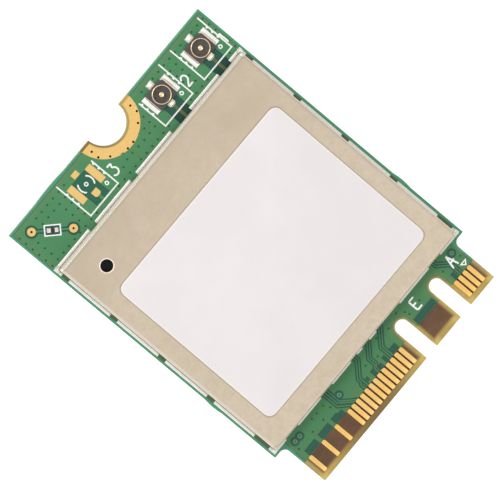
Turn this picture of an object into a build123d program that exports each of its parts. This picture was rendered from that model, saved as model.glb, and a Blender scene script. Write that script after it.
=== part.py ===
"""A laptop wireless card: a plug-in board with two coaxial antenna receptacles and a shielded radio.

Frame: millimetres, +Z out of the component side, origin under the centre of the board on the surface it
lies on, +Y towards the end with the screw notch, -Y towards the contacts that go into the socket.
"""

from build123d import *
import os

os.makedirs("parts", exist_ok=True)

# Board outline
board_width = 22.0
board_length = 30.0
board_thickness = 0.80
tongue_inset = 1.075
tongue_length = 4.0
shoulder_radius = 0.5
key_slot_width = 1.2
key_slot_depth = 3.5
notch_radius = 1.75
break_stub_length = 3.4
break_stub_height = 0.07
rear_stub_from_side = 4.7
side_stub_from_tip = 10.0

# Layers of the board
copper_thickness = 0.035
mask_thickness = 0.025
pad_finish = 0.01
pour_pullback = 0.22
slot_bare_rim = 0.14

# Edge contacts
contact_positions = 75
contact_width = 0.35
contact_edge_margin = 0.675
contact_tip_gap = 0.45
top_contact_length = 1.62
bottom_contact_length = 2.2
contact_corner = 0.08
key_positions = [11.5, 27.5]
top_pins = [1, 3, 5, 7, *range(33, 58, 2), 63, 69, 75]
bottom_pins = [2, 4, 6, 16, 18, 20, 22, *range(32, 75, 2)]

# Pad round the screw notch
screw_pad_radius = 2.75
screw_pad_bare_rim = 0.12
screw_pad_end_gap = 0.2
screw_via_places = [(2.24, -0.72), (2.24, -1.36), (1.62, -2.0), (0.32, -2.63)]

# Plated holes and other round details so small that flats stand in for their curve
via_drill_radius = 0.125
via_bore_radius = 0.095
small_round_sides = 8

# Shield, and the board left free round it
shield_side_margin = 0.45
shield_front_margin = 0.45
shield_rear_strip = 4.45
shield_height = 1.35
shield_sheet = 0.15
shield_bend_radius = 0.25
shield_corner_relief = 0.28
shield_pad_inset = 0.25
shield_pad_outset = 0.27
shield_notch_height = 0.45
shield_notch_corner = 0.08
vent_from_side = 2.50
vent_from_rear = 2.45
vent_radius = 0.48
vent_rim = 0.05
fillet_climb = 0.26
fillet_sag = 0.04

# Label, by the metal left bare round it
label_bare_sides = 1.50
label_bare_rear = 4.275
label_bare_front = 1.775
label_corner = 0.55
label_thickness = 0.10
label_shift = 0.07
label_skew = -0.45

# Antenna receptacles and the bare third footprint
outer_receptacle_from_side = 2.13
inner_receptacle_share = 0.2614
receptacles_from_end = 1.95
ring_radius = 0.745
ring_wall = 0.08
ring_height = 0.60
ring_rim = 0.04
ring_groove_depth = 0.03
ring_groove_low = 0.26
ring_groove_high = 0.40
shell_plate = 0.10
wing_reach = 1.24
wing_length = 1.56
tab_width = 0.46
tab_reach = 1.20
signal_gap = 0.76
signal_bridge_gap = 0.06
housing_width = 1.82
housing_length = 1.70
housing_height = 0.235
housing_chamfer = 0.22
housing_floor = 0.15
signal_tab_width = 0.50
signal_tab_reach = 1.06
signal_neck_width = 0.30
signal_tab_start = 0.60
pin_radius = 0.20
pin_tip_radius = 0.11
pin_shoulder = 0.40
pin_height = 0.52
side_pad_width = 0.58
side_pad_length = 1.60
side_pad_offset = 1.05
end_pad_width = 0.58
rear_pad_length = 0.45
rear_pad_offset = 1.08
signal_pad_length = 0.56
signal_pad_offset = 0.98
signal_pad_corner = 0.12
solder_over_tab = 0.045
solder_round = 0.04

# Feed lines from the receptacles into the shield
feed_width = 0.25
feed_clearance = 0.60
feed_depth_in_shield = 1.0
spare_feed_length = 1.65

# Test network: two pads joined through a small resistor, on a line at 45 degrees
test_pad_radius = 0.33
test_ring_radius = 0.50
test_pad_from_side = 1.30
test_pad_from_end = 1.10
test_pad_spacing = 3.154
test_angle = -45.0
test_trace_width = 0.15
test_channel_width = 0.38
resistor_length = 0.60
resistor_width = 0.30
resistor_height = 0.23
resistor_end = 0.15
resistor_pad = 0.34
resistor_pad_offset = 0.26
resistor_frame_length = 1.20
resistor_frame_width = 0.78

# Silkscreen
ink_thickness = 0.018
frame_line = 0.125
frame_half_width = 1.58
frame_front = 1.78
frame_tall = 1.60
frame_short = 0.85
dot_mark_x = 1.06
dot_mark_y = -1.13
dot_mark_radius = 0.17
dot_mark_bore = 0.075
spare_arc_radius = 0.63
spare_arc_sweep = 84.0
triangle_half = 0.30
triangle_depth = 0.36
triangle_line = 0.10
triangle_gap = 0.10

# Traces that leave the shield for the contacts
trace_width = 0.10
trace_clearance = 0.095
trace_start_inset = 0.10
trace_tail = 0.45
# Each as its contact, place beside that contact, straight run, slant across, and last sidestep
trace_routes = [
    (55, -0.05, 1.67, -0.78, 0), (53, -0.20, 1.53, -0.93, 0), (53, 0.01, 1.53, -0.93, 0),
    (49, 0.05, 0.57, 1.00, 0.15), (47, -0.10, 0.65, 1.00, 0),
    (43, 0.15, 0.27, 0.93, 0.22), (43, 0.34, 0.35, 0.93, 0.22),
    (37, 0.11, 0.27, 1.09, 0), (35, -0.19, 0.35, 1.09, 0),
    (5, 0.19, 0.63, -0.76, 0), (3, -0.11, 0.55, -0.76, 0),
]
# Windows in the copper behind the contacts, as a contact position and a width
copper_windows = [
    (72.4, 1.20), (66.2, 1.20), (61.2, 0.66), (43.5, 0.30),
    (38.1, 0.32), (33.9, 0.62), (19.68, 2.25), (5.7, 0.36),
]
window_length = 0.56
window_gap = 0.03

# Gaps between the shield's feet, as a share of the way from the middle of the side to its end, and a width
side_gap_shares = [(-0.896, 1.45), (-0.419, 0.72), (0.033, 0.70), (0.479, 0.70), (0.924, 0.70)]
rear_gap_shares = [(-0.611, 0.76), (-0.160, 0.73)]
rear_feed_gaps = [(-0.55, 2.24), (0, 1.32)]
front_gap_shares = [
    (-0.825, 1.40), (-0.444, 1.35), (-0.140, 0.75), (-0.008, 0.85), (0.236, 2.73), (0.752, 1.35),
]

# Radio chip and its heat pad, as shares of the shield's length
radio_share = 0.379
radio_thickness = 0.80
radio_side_share = 0.076
radio_rear_share = -0.2085
land_height = 0.05
land_width = 0.25
land_length = 0.40
lands_per_side = 8
land_row_share = 0.70
centre_land_share = 0.70
heat_pad_share = 0.825

# Front-end modules and antenna diplexers, one of each behind every receptacle
front_end_width = 3.0
front_end_share = 0.142
front_end_height = 0.55
front_end_shift = -0.9
front_end_rear_share = 0.588
diplexer_width = 1.25
diplexer_share = 0.095
diplexer_height = 0.60
diplexer_end = 0.30
diplexer_rear_share = 0.844

# Clock crystal, memory and power inductors, left of the radio
crystal_from_radio = 2.6
crystal_rear_share = -0.133
crystal_width = 2.5
crystal_length = 2.0
crystal_base_height = 0.35
crystal_lid_height = 0.15
crystal_lid_margin = 0.2
memory_from_radio = 3.2
memory_rear_share = 0.341
memory_width = 2.0
memory_length = 3.0
memory_height = 0.55
inductor_from_radio = 2.9
inductor_rear_shares = [-0.474, -0.749]
inductor_width = 2.5
inductor_length = 2.0
inductor_height = 1.0
inductor_end = 0.45

# Small ceramic capacitors and resistors
capacitor_length = 1.0
capacitor_width = 0.5
capacitor_height = 0.5
capacitor_end = 0.25
small_part_length = 0.6
small_part_width = 0.3
small_part_height = 0.3
small_part_end = 0.13
# Columns beside the radio and against the walls, as a distance out from the edge and shares of the way back
near_column = 0.9
far_column = 2.1
wall_column = 1.2
left_capacitor_shares = [-0.531, -0.341]
left_resistor_shares = [0.284, 0.474]
right_capacitor_shares = [-0.303]
right_small_shares = [-0.474, -0.398, 0.038]
right_resistor_shares = [-0.246, -0.133]
wall_capacitor_shares = [-0.607]
wall_resistor_shares = [-0.076, 0.114]
# Rows behind and before the radio, as a distance from its middle and a share of the way back
rear_row = [(-2.6, 0.256), (0.4, 0.256), (3.4, 0.256)]
front_row = [(-2.2, -0.673), (1.4, -0.673)]
front_resistor_row = [(-3.4, -0.815), (0.1, -0.815)]
# Matching parts beside the feeds
feed_part_gap = 1.5
feed_part_rear_share = 0.825

# Heights, worked out from the layers
skin = copper_thickness + mask_thickness
laminate_top = board_thickness - skin
copper_top = laminate_top + copper_thickness
pad_top = copper_top + pad_finish
shield_top = board_thickness + shield_height
shield_ceiling = shield_top - shield_sheet

# Places, worked out from the outline
far_end_y = board_length / 2
tongue_end_y = -board_length / 2
shoulder_y = tongue_end_y + tongue_length
tongue_width = board_width - 2 * tongue_inset
contact_pitch = (tongue_width - 2 * contact_edge_margin) / (contact_positions - 1)
contact_end_y = tongue_end_y + contact_tip_gap
top_mask_edge_y = contact_end_y + top_contact_length
bottom_mask_edge_y = contact_end_y + bottom_contact_length
shield_width = board_width - 2 * shield_side_margin
shield_front_y = shoulder_y + shield_front_margin
shield_rear_y = far_end_y - shield_rear_strip
shield_length = shield_rear_y - shield_front_y
shield_y = (shield_front_y + shield_rear_y) / 2


def contact_x(position):
    """Where a numbered contact, or a place between two, lies across the tongue."""
    return tongue_width / 2 - contact_edge_margin - (position - 1) * contact_pitch


def behind(share):
    """A place under the shield, as a share of the way from its middle to its rear."""
    return shield_y + share * shield_length / 2


outer_receptacle_x = board_width / 2 - outer_receptacle_from_side
inner_receptacle_x = screw_pad_radius + inner_receptacle_share * (outer_receptacle_x - screw_pad_radius)
receptacle_x = [outer_receptacle_x, inner_receptacle_x]
spare_x = -inner_receptacle_x
receptacle_y = far_end_y - receptacles_from_end
spare_feed_end_y = receptacle_y - spare_feed_length
receptacle_places = [(x, receptacle_y) for x in receptacle_x]
key_slot_places = [(contact_x(position), tongue_end_y) for position in key_positions]
screw_vias = [(side * x, far_end_y + y) for x, y in screw_via_places for side in (-1, 1)]

test_corner = Location((test_pad_from_side - board_width / 2, far_end_y - test_pad_from_end), test_angle)
test_pads_at = [test_corner, test_corner * Location((test_pad_spacing, 0))]
test_middle = test_corner * Location((test_pad_spacing / 2, 0))

side_gaps = [(shield_y + share * shield_length / 2, width) for share, width in side_gap_shares]
front_gaps = [(share * shield_width / 2, width) for share, width in front_gap_shares]
rear_gaps = [(share * shield_width / 2, width) for share, width in rear_gap_shares]
rear_gaps += [(inner_receptacle_x + rear_feed_gaps[0][0], rear_feed_gaps[0][1])]
rear_gaps += [(outer_receptacle_x + rear_feed_gaps[1][0], rear_feed_gaps[1][1])]

radio_size = radio_share * shield_length
radio_place = (radio_side_share * shield_width / 2, behind(radio_rear_share))
radio_left = radio_place[0] - radio_size / 2
radio_right = radio_place[0] + radio_size / 2


def export_named(part, name):
    """Labels a finished piece and writes it as its own file."""
    part.label = name
    export_step(part, f"parts/{name}.step")


def feet_between(gaps, middle, length):
    """The stretches along one side of the shield, from corner to corner, that the gaps leave."""
    edges = [middle - length / 2 - shield_pad_outset]
    for centre, width in gaps:
        edges += [centre - width / 2, centre + width / 2]
    edges.append(middle + length / 2 + shield_pad_outset)
    return list(zip(edges[0::2], edges[1::2]))


side_feet = feet_between(side_gaps, shield_y, shield_length)
rear_feet = feet_between(rear_gaps, 0, shield_width)
front_feet = feet_between(front_gaps, 0, shield_width)


# Outline of the board, with both key slots, the screw notch and the stubs left where it broke off its panel
rear_stub_x = rear_stub_from_side - board_width / 2
side_stub_y = tongue_end_y + side_stub_from_tip
with BuildSketch() as board_outline:
    with Locations((0, (far_end_y + shoulder_y) / 2)):
        Rectangle(board_width, far_end_y - shoulder_y)
    with Locations((0, (shoulder_y + tongue_end_y) / 2)):
        Rectangle(tongue_width, tongue_length)
    shoulder_corners = [
        v for v in board_outline.vertices()
        if abs(v.Y - shoulder_y) < 1e-6 and abs(abs(v.X) - tongue_width / 2) < 1e-6
    ]
    fillet(shoulder_corners, radius=shoulder_radius)
    with Locations(*key_slot_places):
        SlotOverall(2 * key_slot_depth, key_slot_width, rotation=90, mode=Mode.SUBTRACT)
    with Locations((0, far_end_y)):
        Circle(notch_radius, mode=Mode.SUBTRACT)
    with BuildLine():
        rear_stub = SagittaArc(
            (rear_stub_x - break_stub_length / 2, far_end_y),
            (rear_stub_x + break_stub_length / 2, far_end_y),
            break_stub_height,
        )
        Line(rear_stub @ 1, rear_stub @ 0)
    make_face()
    for side in (-1, 1):
        low_end = (side * board_width / 2, side_stub_y - side * break_stub_length / 4)
        high_end = (side * board_width / 2, side_stub_y + side * break_stub_length / 4)
        with BuildLine():
            SagittaArc(low_end, high_end, -break_stub_height)
            Line(high_end, low_end)
        make_face()

# Copper pour of one face: the outline drawn in from every edge
with BuildSketch() as pour_outline:
    with Locations((0, (far_end_y + shoulder_y) / 2)):
        Rectangle(board_width - 2 * pour_pullback, far_end_y - shoulder_y - 2 * pour_pullback)
    with Locations((0, (shoulder_y + tongue_end_y) / 2 + pour_pullback)):
        Rectangle(tongue_width - 2 * pour_pullback, tongue_length)
    with Locations(*key_slot_places):
        SlotOverall(
            2 * (key_slot_depth + pour_pullback),
            key_slot_width + 2 * (slot_bare_rim + pour_pullback / 2),
            rotation=90,
            mode=Mode.SUBTRACT,
        )

# Ring of bare metal round the screw notch
with BuildSketch() as screw_pad_shape:
    with Locations((0, far_end_y)):
        Circle(screw_pad_radius)
        Circle(notch_radius + screw_pad_bare_rim, mode=Mode.SUBTRACT)
    with Locations((0, far_end_y - screw_pad_end_gap + screw_pad_radius)):
        Rectangle(2 * screw_pad_radius, 2 * screw_pad_radius, mode=Mode.SUBTRACT)

# Bare metal under the shield's feet
strip_width = shield_pad_inset + shield_pad_outset
strip_shift = (shield_pad_outset - shield_pad_inset) / 2
with BuildSketch() as shield_pad_shape:
    for feet, strip_y in (
        (rear_feet, shield_rear_y + strip_shift),
        (front_feet, shield_front_y - strip_shift),
    ):
        for start, end in feet:
            with Locations(((start + end) / 2, strip_y)):
                Rectangle(end - start, strip_width)
    strip_x = shield_width / 2 + strip_shift
    for start, end in side_feet:
        with Locations((-strip_x, (start + end) / 2), (strip_x, (start + end) / 2)):
            Rectangle(strip_width, end - start)

# Four pads of one antenna receptacle, about its centre
with BuildSketch() as receptacle_pad_shape:
    with Locations((-side_pad_offset, 0), (side_pad_offset, 0)):
        Rectangle(side_pad_width, side_pad_length)
    with Locations((0, rear_pad_offset)):
        Rectangle(end_pad_width, rear_pad_length)
    with Locations((0, -signal_pad_offset)):
        signal_pad = Rectangle(end_pad_width, signal_pad_length)
    chamfer(signal_pad.vertices().group_by(Axis.Y)[0], signal_pad_corner)

# Pads of the small test resistor, about its centre
with BuildSketch() as resistor_pad_shape:
    with Locations((-resistor_pad_offset, 0), (resistor_pad_offset, 0)):
        Rectangle(resistor_pad, resistor_pad)

# Glass-epoxy board
with BuildPart() as laminate:
    with BuildSketch(Plane.XY.offset(skin)):
        add(board_outline.sketch)
        with Locations(*screw_vias, *test_pads_at):
            RegularPolygon(via_drill_radius, small_round_sides, mode=Mode.SUBTRACT)
    extrude(amount=laminate_top - skin)
export_named(laminate.part, "laminate")


def mask_region(edge_y):
    """The part of a face that solder mask covers: all but the contacts, the slots' rims and the screw pad."""
    with BuildSketch() as region:
        add(board_outline.sketch)
        with Locations((0, edge_y)):
            Rectangle(board_width, board_length, align=(Align.CENTER, Align.MAX), mode=Mode.SUBTRACT)
        with Locations(*key_slot_places):
            SlotOverall(
                2 * (key_slot_depth + slot_bare_rim),
                key_slot_width + 2 * slot_bare_rim,
                rotation=90,
                mode=Mode.SUBTRACT,
            )
        with Locations((0, far_end_y)):
            Circle(screw_pad_radius, mode=Mode.SUBTRACT)
    return region.sketch


def trace_points(route):
    """From under the shield straight out, slanting across at 45 degrees, and on to the edge of the mask."""
    position, beside, straight, across, sidestep = route
    end_x = contact_x(position) + beside
    low_x = end_x + sidestep
    start_y = shield_front_y + trace_start_inset
    turn_y = start_y - straight
    points = [(low_x + across, start_y), (low_x + across, turn_y), (low_x, turn_y - abs(across))]
    if sidestep:
        points += [(low_x, top_mask_edge_y + trace_tail + sidestep), (end_x, top_mask_edge_y + trace_tail)]
    return points + [(end_x, top_mask_edge_y)]


# Copper-free ground on the component side, where the mask lies lower and looks darker
with BuildSketch() as copper_free_top:
    add(board_outline.sketch)
    add(pour_outline.sketch, mode=Mode.SUBTRACT)
    keepout_width = feed_width + 2 * feed_clearance
    feed_end_y = shield_rear_y + shield_pad_outset - feed_depth_in_shield
    rear_y = receptacle_y + side_pad_length / 2
    for x, front_y in [(x, feed_end_y) for x in receptacle_x] + [(spare_x, spare_feed_end_y)]:
        with Locations((x, (front_y + rear_y) / 2)):
            Rectangle(keepout_width, rear_y - front_y)
        with BuildLine():
            Polyline((x, receptacle_y - signal_pad_offset), (x, front_y))
        trace(line_width=feed_width, mode=Mode.SUBTRACT)
    with Locations(*test_pads_at):
        Circle(test_ring_radius)
    with Locations(test_middle):
        Rectangle(test_pad_spacing, test_channel_width)
        Rectangle(resistor_frame_length, resistor_frame_width)
        Rectangle(test_pad_spacing, test_trace_width, mode=Mode.SUBTRACT)
        Rectangle(2 * resistor_pad_offset, test_channel_width)
    for position, width in copper_windows:
        with Locations((contact_x(position), top_mask_edge_y + window_gap)):
            Rectangle(width, window_length, align=(Align.CENTER, Align.MIN))
    for route in trace_routes:
        with BuildLine():
            Polyline(*trace_points(route))
        trace(line_width=trace_width + 2 * trace_clearance)
    for route in trace_routes:
        with BuildLine():
            Polyline(*trace_points(route))
        trace(line_width=trace_width, mode=Mode.SUBTRACT)

# Green skin on the component side, over copper and ground alike
with BuildPart() as mask_top:
    with BuildSketch(Plane.XY.offset(laminate_top)):
        add(mask_region(top_mask_edge_y))
        add(shield_pad_shape.sketch, mode=Mode.SUBTRACT)
        with Locations(*test_pads_at):
            Circle(test_pad_radius, mode=Mode.SUBTRACT)
        for place in [*receptacle_places, (spare_x, receptacle_y)]:
            add(Location(place) * receptacle_pad_shape.sketch, mode=Mode.SUBTRACT)
        add(test_middle * resistor_pad_shape.sketch, mode=Mode.SUBTRACT)
    extrude(amount=skin)
    with BuildSketch(Plane.XY.offset(board_thickness)):
        add(copper_free_top.sketch)
    extrude(amount=-copper_thickness, mode=Mode.SUBTRACT)
export_named(mask_top.part, "solder_mask_top")

# Green skin on the underside
with BuildPart() as mask_bottom:
    with BuildSketch():
        add(mask_region(bottom_mask_edge_y))
    extrude(amount=skin)
    with BuildSketch():
        add(board_outline.sketch)
        add(pour_outline.sketch, mode=Mode.SUBTRACT)
    extrude(amount=copper_thickness, mode=Mode.SUBTRACT)
export_named(mask_bottom.part, "solder_mask_bottom")

# Gold contacts on the tongue
with BuildPart() as contacts_top:
    with BuildSketch(Plane.XY.offset(laminate_top)):
        for pin in top_pins:
            with Locations((contact_x(pin), (contact_end_y + top_mask_edge_y) / 2)):
                finger = Rectangle(contact_width, top_contact_length)
            chamfer(finger.vertices().group_by(Axis.Y)[-1], contact_corner)
    extrude(amount=copper_thickness)
export_named(contacts_top.part, "contacts_top")

with BuildPart() as contacts_bottom:
    with BuildSketch(Plane.XY.offset(skin)):
        for pin in bottom_pins:
            with Locations((contact_x(pin), (contact_end_y + bottom_mask_edge_y) / 2)):
                Rectangle(contact_width, bottom_contact_length)
    extrude(amount=-copper_thickness)
export_named(contacts_bottom.part, "contacts_bottom")

# Gold half rings that the screw head clamps, joined through the board by their plated holes
with BuildPart() as screw_pad:
    with BuildSketch(Plane.XY.offset(laminate_top)):
        add(screw_pad_shape.sketch)
    extrude(amount=copper_thickness)
    with BuildSketch(Plane.XY.offset(skin)):
        add(screw_pad_shape.sketch)
    extrude(amount=-copper_thickness)
    with BuildSketch(Plane.XY.offset(skin)):
        with Locations(*screw_vias):
            RegularPolygon(via_drill_radius, small_round_sides)
    extrude(amount=laminate_top - skin)
    with BuildSketch():
        with Locations(*screw_vias):
            RegularPolygon(via_bore_radius, small_round_sides)
    extrude(amount=board_thickness, mode=Mode.SUBTRACT)
export_named(screw_pad.part, "screw_pad")

# Round test pads, each with a plated hole that the mask closes underneath
with BuildPart() as test_pads:
    with BuildSketch(Plane.XY.offset(laminate_top)):
        with Locations(*test_pads_at):
            Circle(test_pad_radius)
    extrude(amount=copper_thickness)
    with BuildSketch(Plane.XY.offset(skin)):
        with Locations(*test_pads_at):
            RegularPolygon(via_drill_radius, small_round_sides)
    extrude(amount=laminate_top - skin)
    with BuildSketch(Plane.XY.offset(skin)):
        with Locations(*test_pads_at):
            RegularPolygon(via_bore_radius, small_round_sides)
    extrude(amount=board_thickness, mode=Mode.SUBTRACT)
export_named(test_pads.part, "test_pads")

# Bare gold pads where a third receptacle would go
with BuildPart() as spare_pads:
    with BuildSketch(Plane((spare_x, receptacle_y, laminate_top))):
        add(receptacle_pad_shape.sketch)
    extrude(amount=copper_thickness)
export_named(spare_pads.part, "spare_antenna_pads")

# Tinned pads under both receptacles, filled level with the mask
with BuildPart() as receptacle_pads:
    for x, y in receptacle_places:
        with BuildSketch(Plane((x, y, laminate_top))):
            add(receptacle_pad_shape.sketch)
        extrude(amount=skin)
export_named(receptacle_pads.part, "receptacle_pads")

# Tinned pads under the shield's feet
with BuildPart() as shield_pads:
    with BuildSketch(Plane.XY.offset(laminate_top)):
        add(shield_pad_shape.sketch)
    extrude(amount=pad_top - laminate_top)
export_named(shield_pads.part, "shield_pads")


def bent_sheet_profile(plane, span):
    """Section of the shield: a flat top with both walls folded down round the bend radius."""
    wall_height = shield_top - pad_top
    with BuildSketch(plane) as profile:
        with Locations((0, pad_top)):
            outside = Rectangle(span, wall_height, align=(Align.CENTER, Align.MIN))
        fillet(outside.vertices().group_by(Axis.Y)[-1], shield_bend_radius)
        with Locations((0, pad_top)):
            Rectangle(
                span - 2 * shield_sheet,
                wall_height - shield_sheet,
                align=(Align.CENTER, Align.MIN),
                mode=Mode.SUBTRACT,
            )
        inner_bend = [
            v for v in profile.vertices()
            if abs(abs(v.X) - (span / 2 - shield_sheet)) < 1e-6 and abs(v.Y - shield_ceiling) < 1e-6
        ]
        fillet(inner_bend, shield_bend_radius - shield_sheet)
    return profile.sketch


def notch_openings(plane, gaps):
    """Openings between the feet along one wall, with their upper corners eased."""
    with BuildSketch(plane) as openings:
        for centre, width in gaps:
            with Locations((centre, pad_top)):
                opening = Rectangle(width, 2 * shield_notch_height)
            chamfer(opening.vertices().group_by(Axis.Y)[-1], shield_notch_corner)
    return openings.sketch


# Shield folded from one sheet, open at the four corner slits, with notches between its feet and a vent hole
with BuildPart() as shield:
    extrude(
        bent_sheet_profile(Plane.XZ.offset(-shield_y), shield_width),
        amount=shield_length / 2 - shield_corner_relief,
        both=True,
    )
    extrude(
        bent_sheet_profile(Plane((0, shield_y, 0), x_dir=(0, 1, 0), z_dir=(1, 0, 0)), shield_length),
        amount=shield_width / 2 - shield_corner_relief,
        both=True,
    )
    for plane, gaps in (
        (Plane.XZ.offset(-shield_rear_y), rear_gaps),
        (Plane.XZ.offset(-shield_front_y), front_gaps),
        (Plane.YZ.offset(-shield_width / 2), side_gaps),
        (Plane.YZ.offset(shield_width / 2), side_gaps),
    ):
        extrude(notch_openings(plane, gaps), amount=2 * shield_bend_radius, both=True, mode=Mode.SUBTRACT)
    with BuildSketch(Plane((vent_from_side - shield_width / 2, shield_rear_y - vent_from_rear, shield_top))):
        Circle(vent_radius)
    extrude(amount=-shield_sheet, mode=Mode.SUBTRACT)
    rim = shield.edges().filter_by(GeomType.CIRCLE).filter_by_position(Axis.Z, shield_top, shield_top)
    chamfer(rim, vent_rim)
export_named(shield.part, "shield_can")

# Solder drawn up against the outside of the shield's feet
with BuildPart() as shield_solder:
    waist = (shield_pad_outset / 2 - fillet_sag, fillet_climb / 2 - fillet_sag)
    for feet, along, outward, wall in (
        (rear_feet, (1, 0, 0), (0, 1, 0), (0, shield_rear_y, pad_top)),
        (front_feet, (1, 0, 0), (0, -1, 0), (0, shield_front_y, pad_top)),
        (side_feet, (0, 1, 0), (1, 0, 0), (shield_width / 2, 0, pad_top)),
        (side_feet, (0, 1, 0), (-1, 0, 0), (-shield_width / 2, 0, pad_top)),
    ):
        upward = Vector(*along).cross(Vector(*outward)).Z
        for start, end in feet:
            with BuildSketch(Plane(Vector(*wall) + Vector(*along) * start, x_dir=outward, z_dir=along)):
                with BuildLine():
                    Polyline(
                        (0, 0),
                        (shield_pad_outset, 0),
                        (waist[0], upward * waist[1]),
                        (0, upward * fillet_climb),
                        close=True,
                    )
                make_face()
            extrude(amount=end - start)
export_named(shield_solder.part, "shield_solder")

# Blank paper label, laid on slightly askew
label_front_y = shield_front_y + label_bare_front
label_rear_y = shield_rear_y - label_bare_rear
with BuildPart() as label:
    with BuildSketch(Plane.XY.offset(shield_top)):
        with Locations(Location((label_shift, (label_front_y + label_rear_y) / 2), label_skew)):
            RectangleRounded(shield_width - 2 * label_bare_sides, label_rear_y - label_front_y, label_corner)
    extrude(amount=label_thickness)
export_named(label.part, "label")

# Coaxial antenna receptacles: a drawn metal shell and a signal pin moulded into a black base
tab_solders = []
for number, (x, y) in enumerate(receptacle_places, start=1):
    seat = Plane((x, y, board_thickness))
    section = Plane((x, y, board_thickness), x_dir=(1, 0, 0), z_dir=(0, -1, 0))
    centre_line = Axis((x, y, 0), (0, 0, 1))

    with BuildPart() as shell:
        with BuildSketch(seat):
            Rectangle(2 * wing_reach, wing_length)
            with Locations((0, tab_reach / 2)):
                Rectangle(tab_width, tab_reach)
            Circle(ring_radius - ring_wall, mode=Mode.SUBTRACT)
            with Locations((0, -wing_length / 2)):
                Rectangle(signal_gap, wing_length, mode=Mode.SUBTRACT)
        extrude(amount=shell_plate)
        with BuildSketch(section):
            inner = ring_radius - ring_wall
            groove = ring_radius - ring_groove_depth
            with BuildLine():
                Polyline(
                    (inner, shell_plate),
                    (ring_radius, shell_plate),
                    (ring_radius, ring_groove_low),
                    (groove, (ring_groove_low + ring_groove_high) / 2),
                    (ring_radius, ring_groove_high),
                    (ring_radius, ring_height - ring_rim),
                    (ring_radius - ring_rim, ring_height),
                    (inner, ring_height),
                    close=True,
                )
            make_face()
        revolve(axis=centre_line)
        with BuildSketch(seat):
            with Locations((0, -ring_radius)):
                Rectangle(signal_gap, 2 * ring_radius)
            Circle(inner / 2, mode=Mode.SUBTRACT)
        extrude(amount=shell_plate + signal_bridge_gap, mode=Mode.SUBTRACT)
    export_named(shell.part, f"receptacle_{number}_shell")

    with BuildSketch(seat) as signal_strip:
        with Locations((0, -(signal_tab_reach + signal_tab_start) / 2)):
            tab = Rectangle(signal_tab_width, signal_tab_reach - signal_tab_start)
        chamfer(tab.vertices().group_by(Axis.Y)[0], signal_pad_corner)
        with Locations((0, -signal_tab_start / 2)):
            Rectangle(signal_neck_width, signal_tab_start)
        Circle(pin_radius)

    with BuildPart() as pin:
        extrude(signal_strip.sketch, amount=shell_plate)
        with BuildSketch(section):
            with BuildLine():
                Polyline(
                    (0, shell_plate),
                    (pin_radius, shell_plate),
                    (pin_radius, pin_shoulder),
                    (pin_tip_radius, pin_height),
                    (0, pin_height),
                    close=True,
                )
            make_face()
        revolve(axis=centre_line)
    export_named(pin.part, f"receptacle_{number}_pin")

    with BuildPart() as housing:
        with BuildSketch(seat):
            base = Rectangle(housing_width, housing_length)
            chamfer(base.vertices().group_by(Axis.Y)[-1].sort_by(Axis.X)[-1], housing_chamfer)
        extrude(amount=housing_height)
        with BuildSketch(seat.offset(housing_floor)):
            Circle(ring_radius - ring_wall)
        extrude(amount=housing_height, mode=Mode.SUBTRACT)
        extrude(signal_strip.sketch, amount=shell_plate, mode=Mode.SUBTRACT)
        with BuildSketch(seat):
            Circle(pin_radius)
        extrude(amount=housing_height, mode=Mode.SUBTRACT)
        add(shell.part, mode=Mode.SUBTRACT)
    export_named(housing.part, f"receptacle_{number}_housing")

    with BuildPart() as tab_solder:
        side_start = housing_width / 2
        side_end = side_pad_offset + side_pad_width / 2
        rear_start = housing_length / 2
        rear_end = rear_pad_offset + rear_pad_length / 2
        signal_end = signal_pad_offset + signal_pad_length / 2
        with BuildSketch(seat):
            with Locations((-(side_start + side_end) / 2, 0), ((side_start + side_end) / 2, 0)):
                Rectangle(side_end - side_start, side_pad_length)
            with Locations((0, (rear_start + rear_end) / 2)):
                Rectangle(end_pad_width, rear_end - rear_start)
            with Locations((0, -(rear_start + signal_end) / 2)):
                front = Rectangle(end_pad_width, signal_end - rear_start)
            chamfer(front.vertices().group_by(Axis.Y)[0], signal_pad_corner)
        extrude(amount=shell_plate + solder_over_tab)
        chamfer(tab_solder.faces().filter_by(Axis.Z).group_by(Axis.Z)[-1].edges(), solder_round)
        add(shell.part, mode=Mode.SUBTRACT)
        add(pin.part, mode=Mode.SUBTRACT)
    tab_solders.append(tab_solder.part)

# Solder over the tabs of both receptacles
with BuildPart() as receptacle_solder:
    for piece in tab_solders:
        add(piece)
export_named(receptacle_solder.part, "receptacle_solder")


def chips(places, length, width, height, end, base_z=board_thickness):
    """Bodies and metal end caps of like two-ended parts, one at each place. Returns both groups."""
    with BuildPart() as bodies:
        with BuildSketch(Plane.XY.offset(base_z)):
            with Locations(*places):
                Rectangle(length - 2 * end, width)
        extrude(amount=height)
    with BuildPart() as ends:
        with BuildSketch(Plane.XY.offset(base_z)):
            with Locations(*places):
                with Locations((-(length - end) / 2, 0), ((length - end) / 2, 0)):
                    Rectangle(end, width)
        extrude(amount=height)
    return bodies.part, ends.part


# Test resistor and its pads
with BuildPart() as resistor_pads:
    with BuildSketch(Plane.XY.offset(laminate_top)):
        add(test_middle * resistor_pad_shape.sketch)
    extrude(amount=pad_top - laminate_top)
export_named(resistor_pads.part, "test_resistor_pads")

resistor_body, resistor_ends = chips(
    [test_middle], resistor_length, resistor_width, resistor_height, resistor_end, pad_top
)
export_named(resistor_body, "test_resistor_body")
export_named(resistor_ends, "test_resistor_ends")

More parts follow.
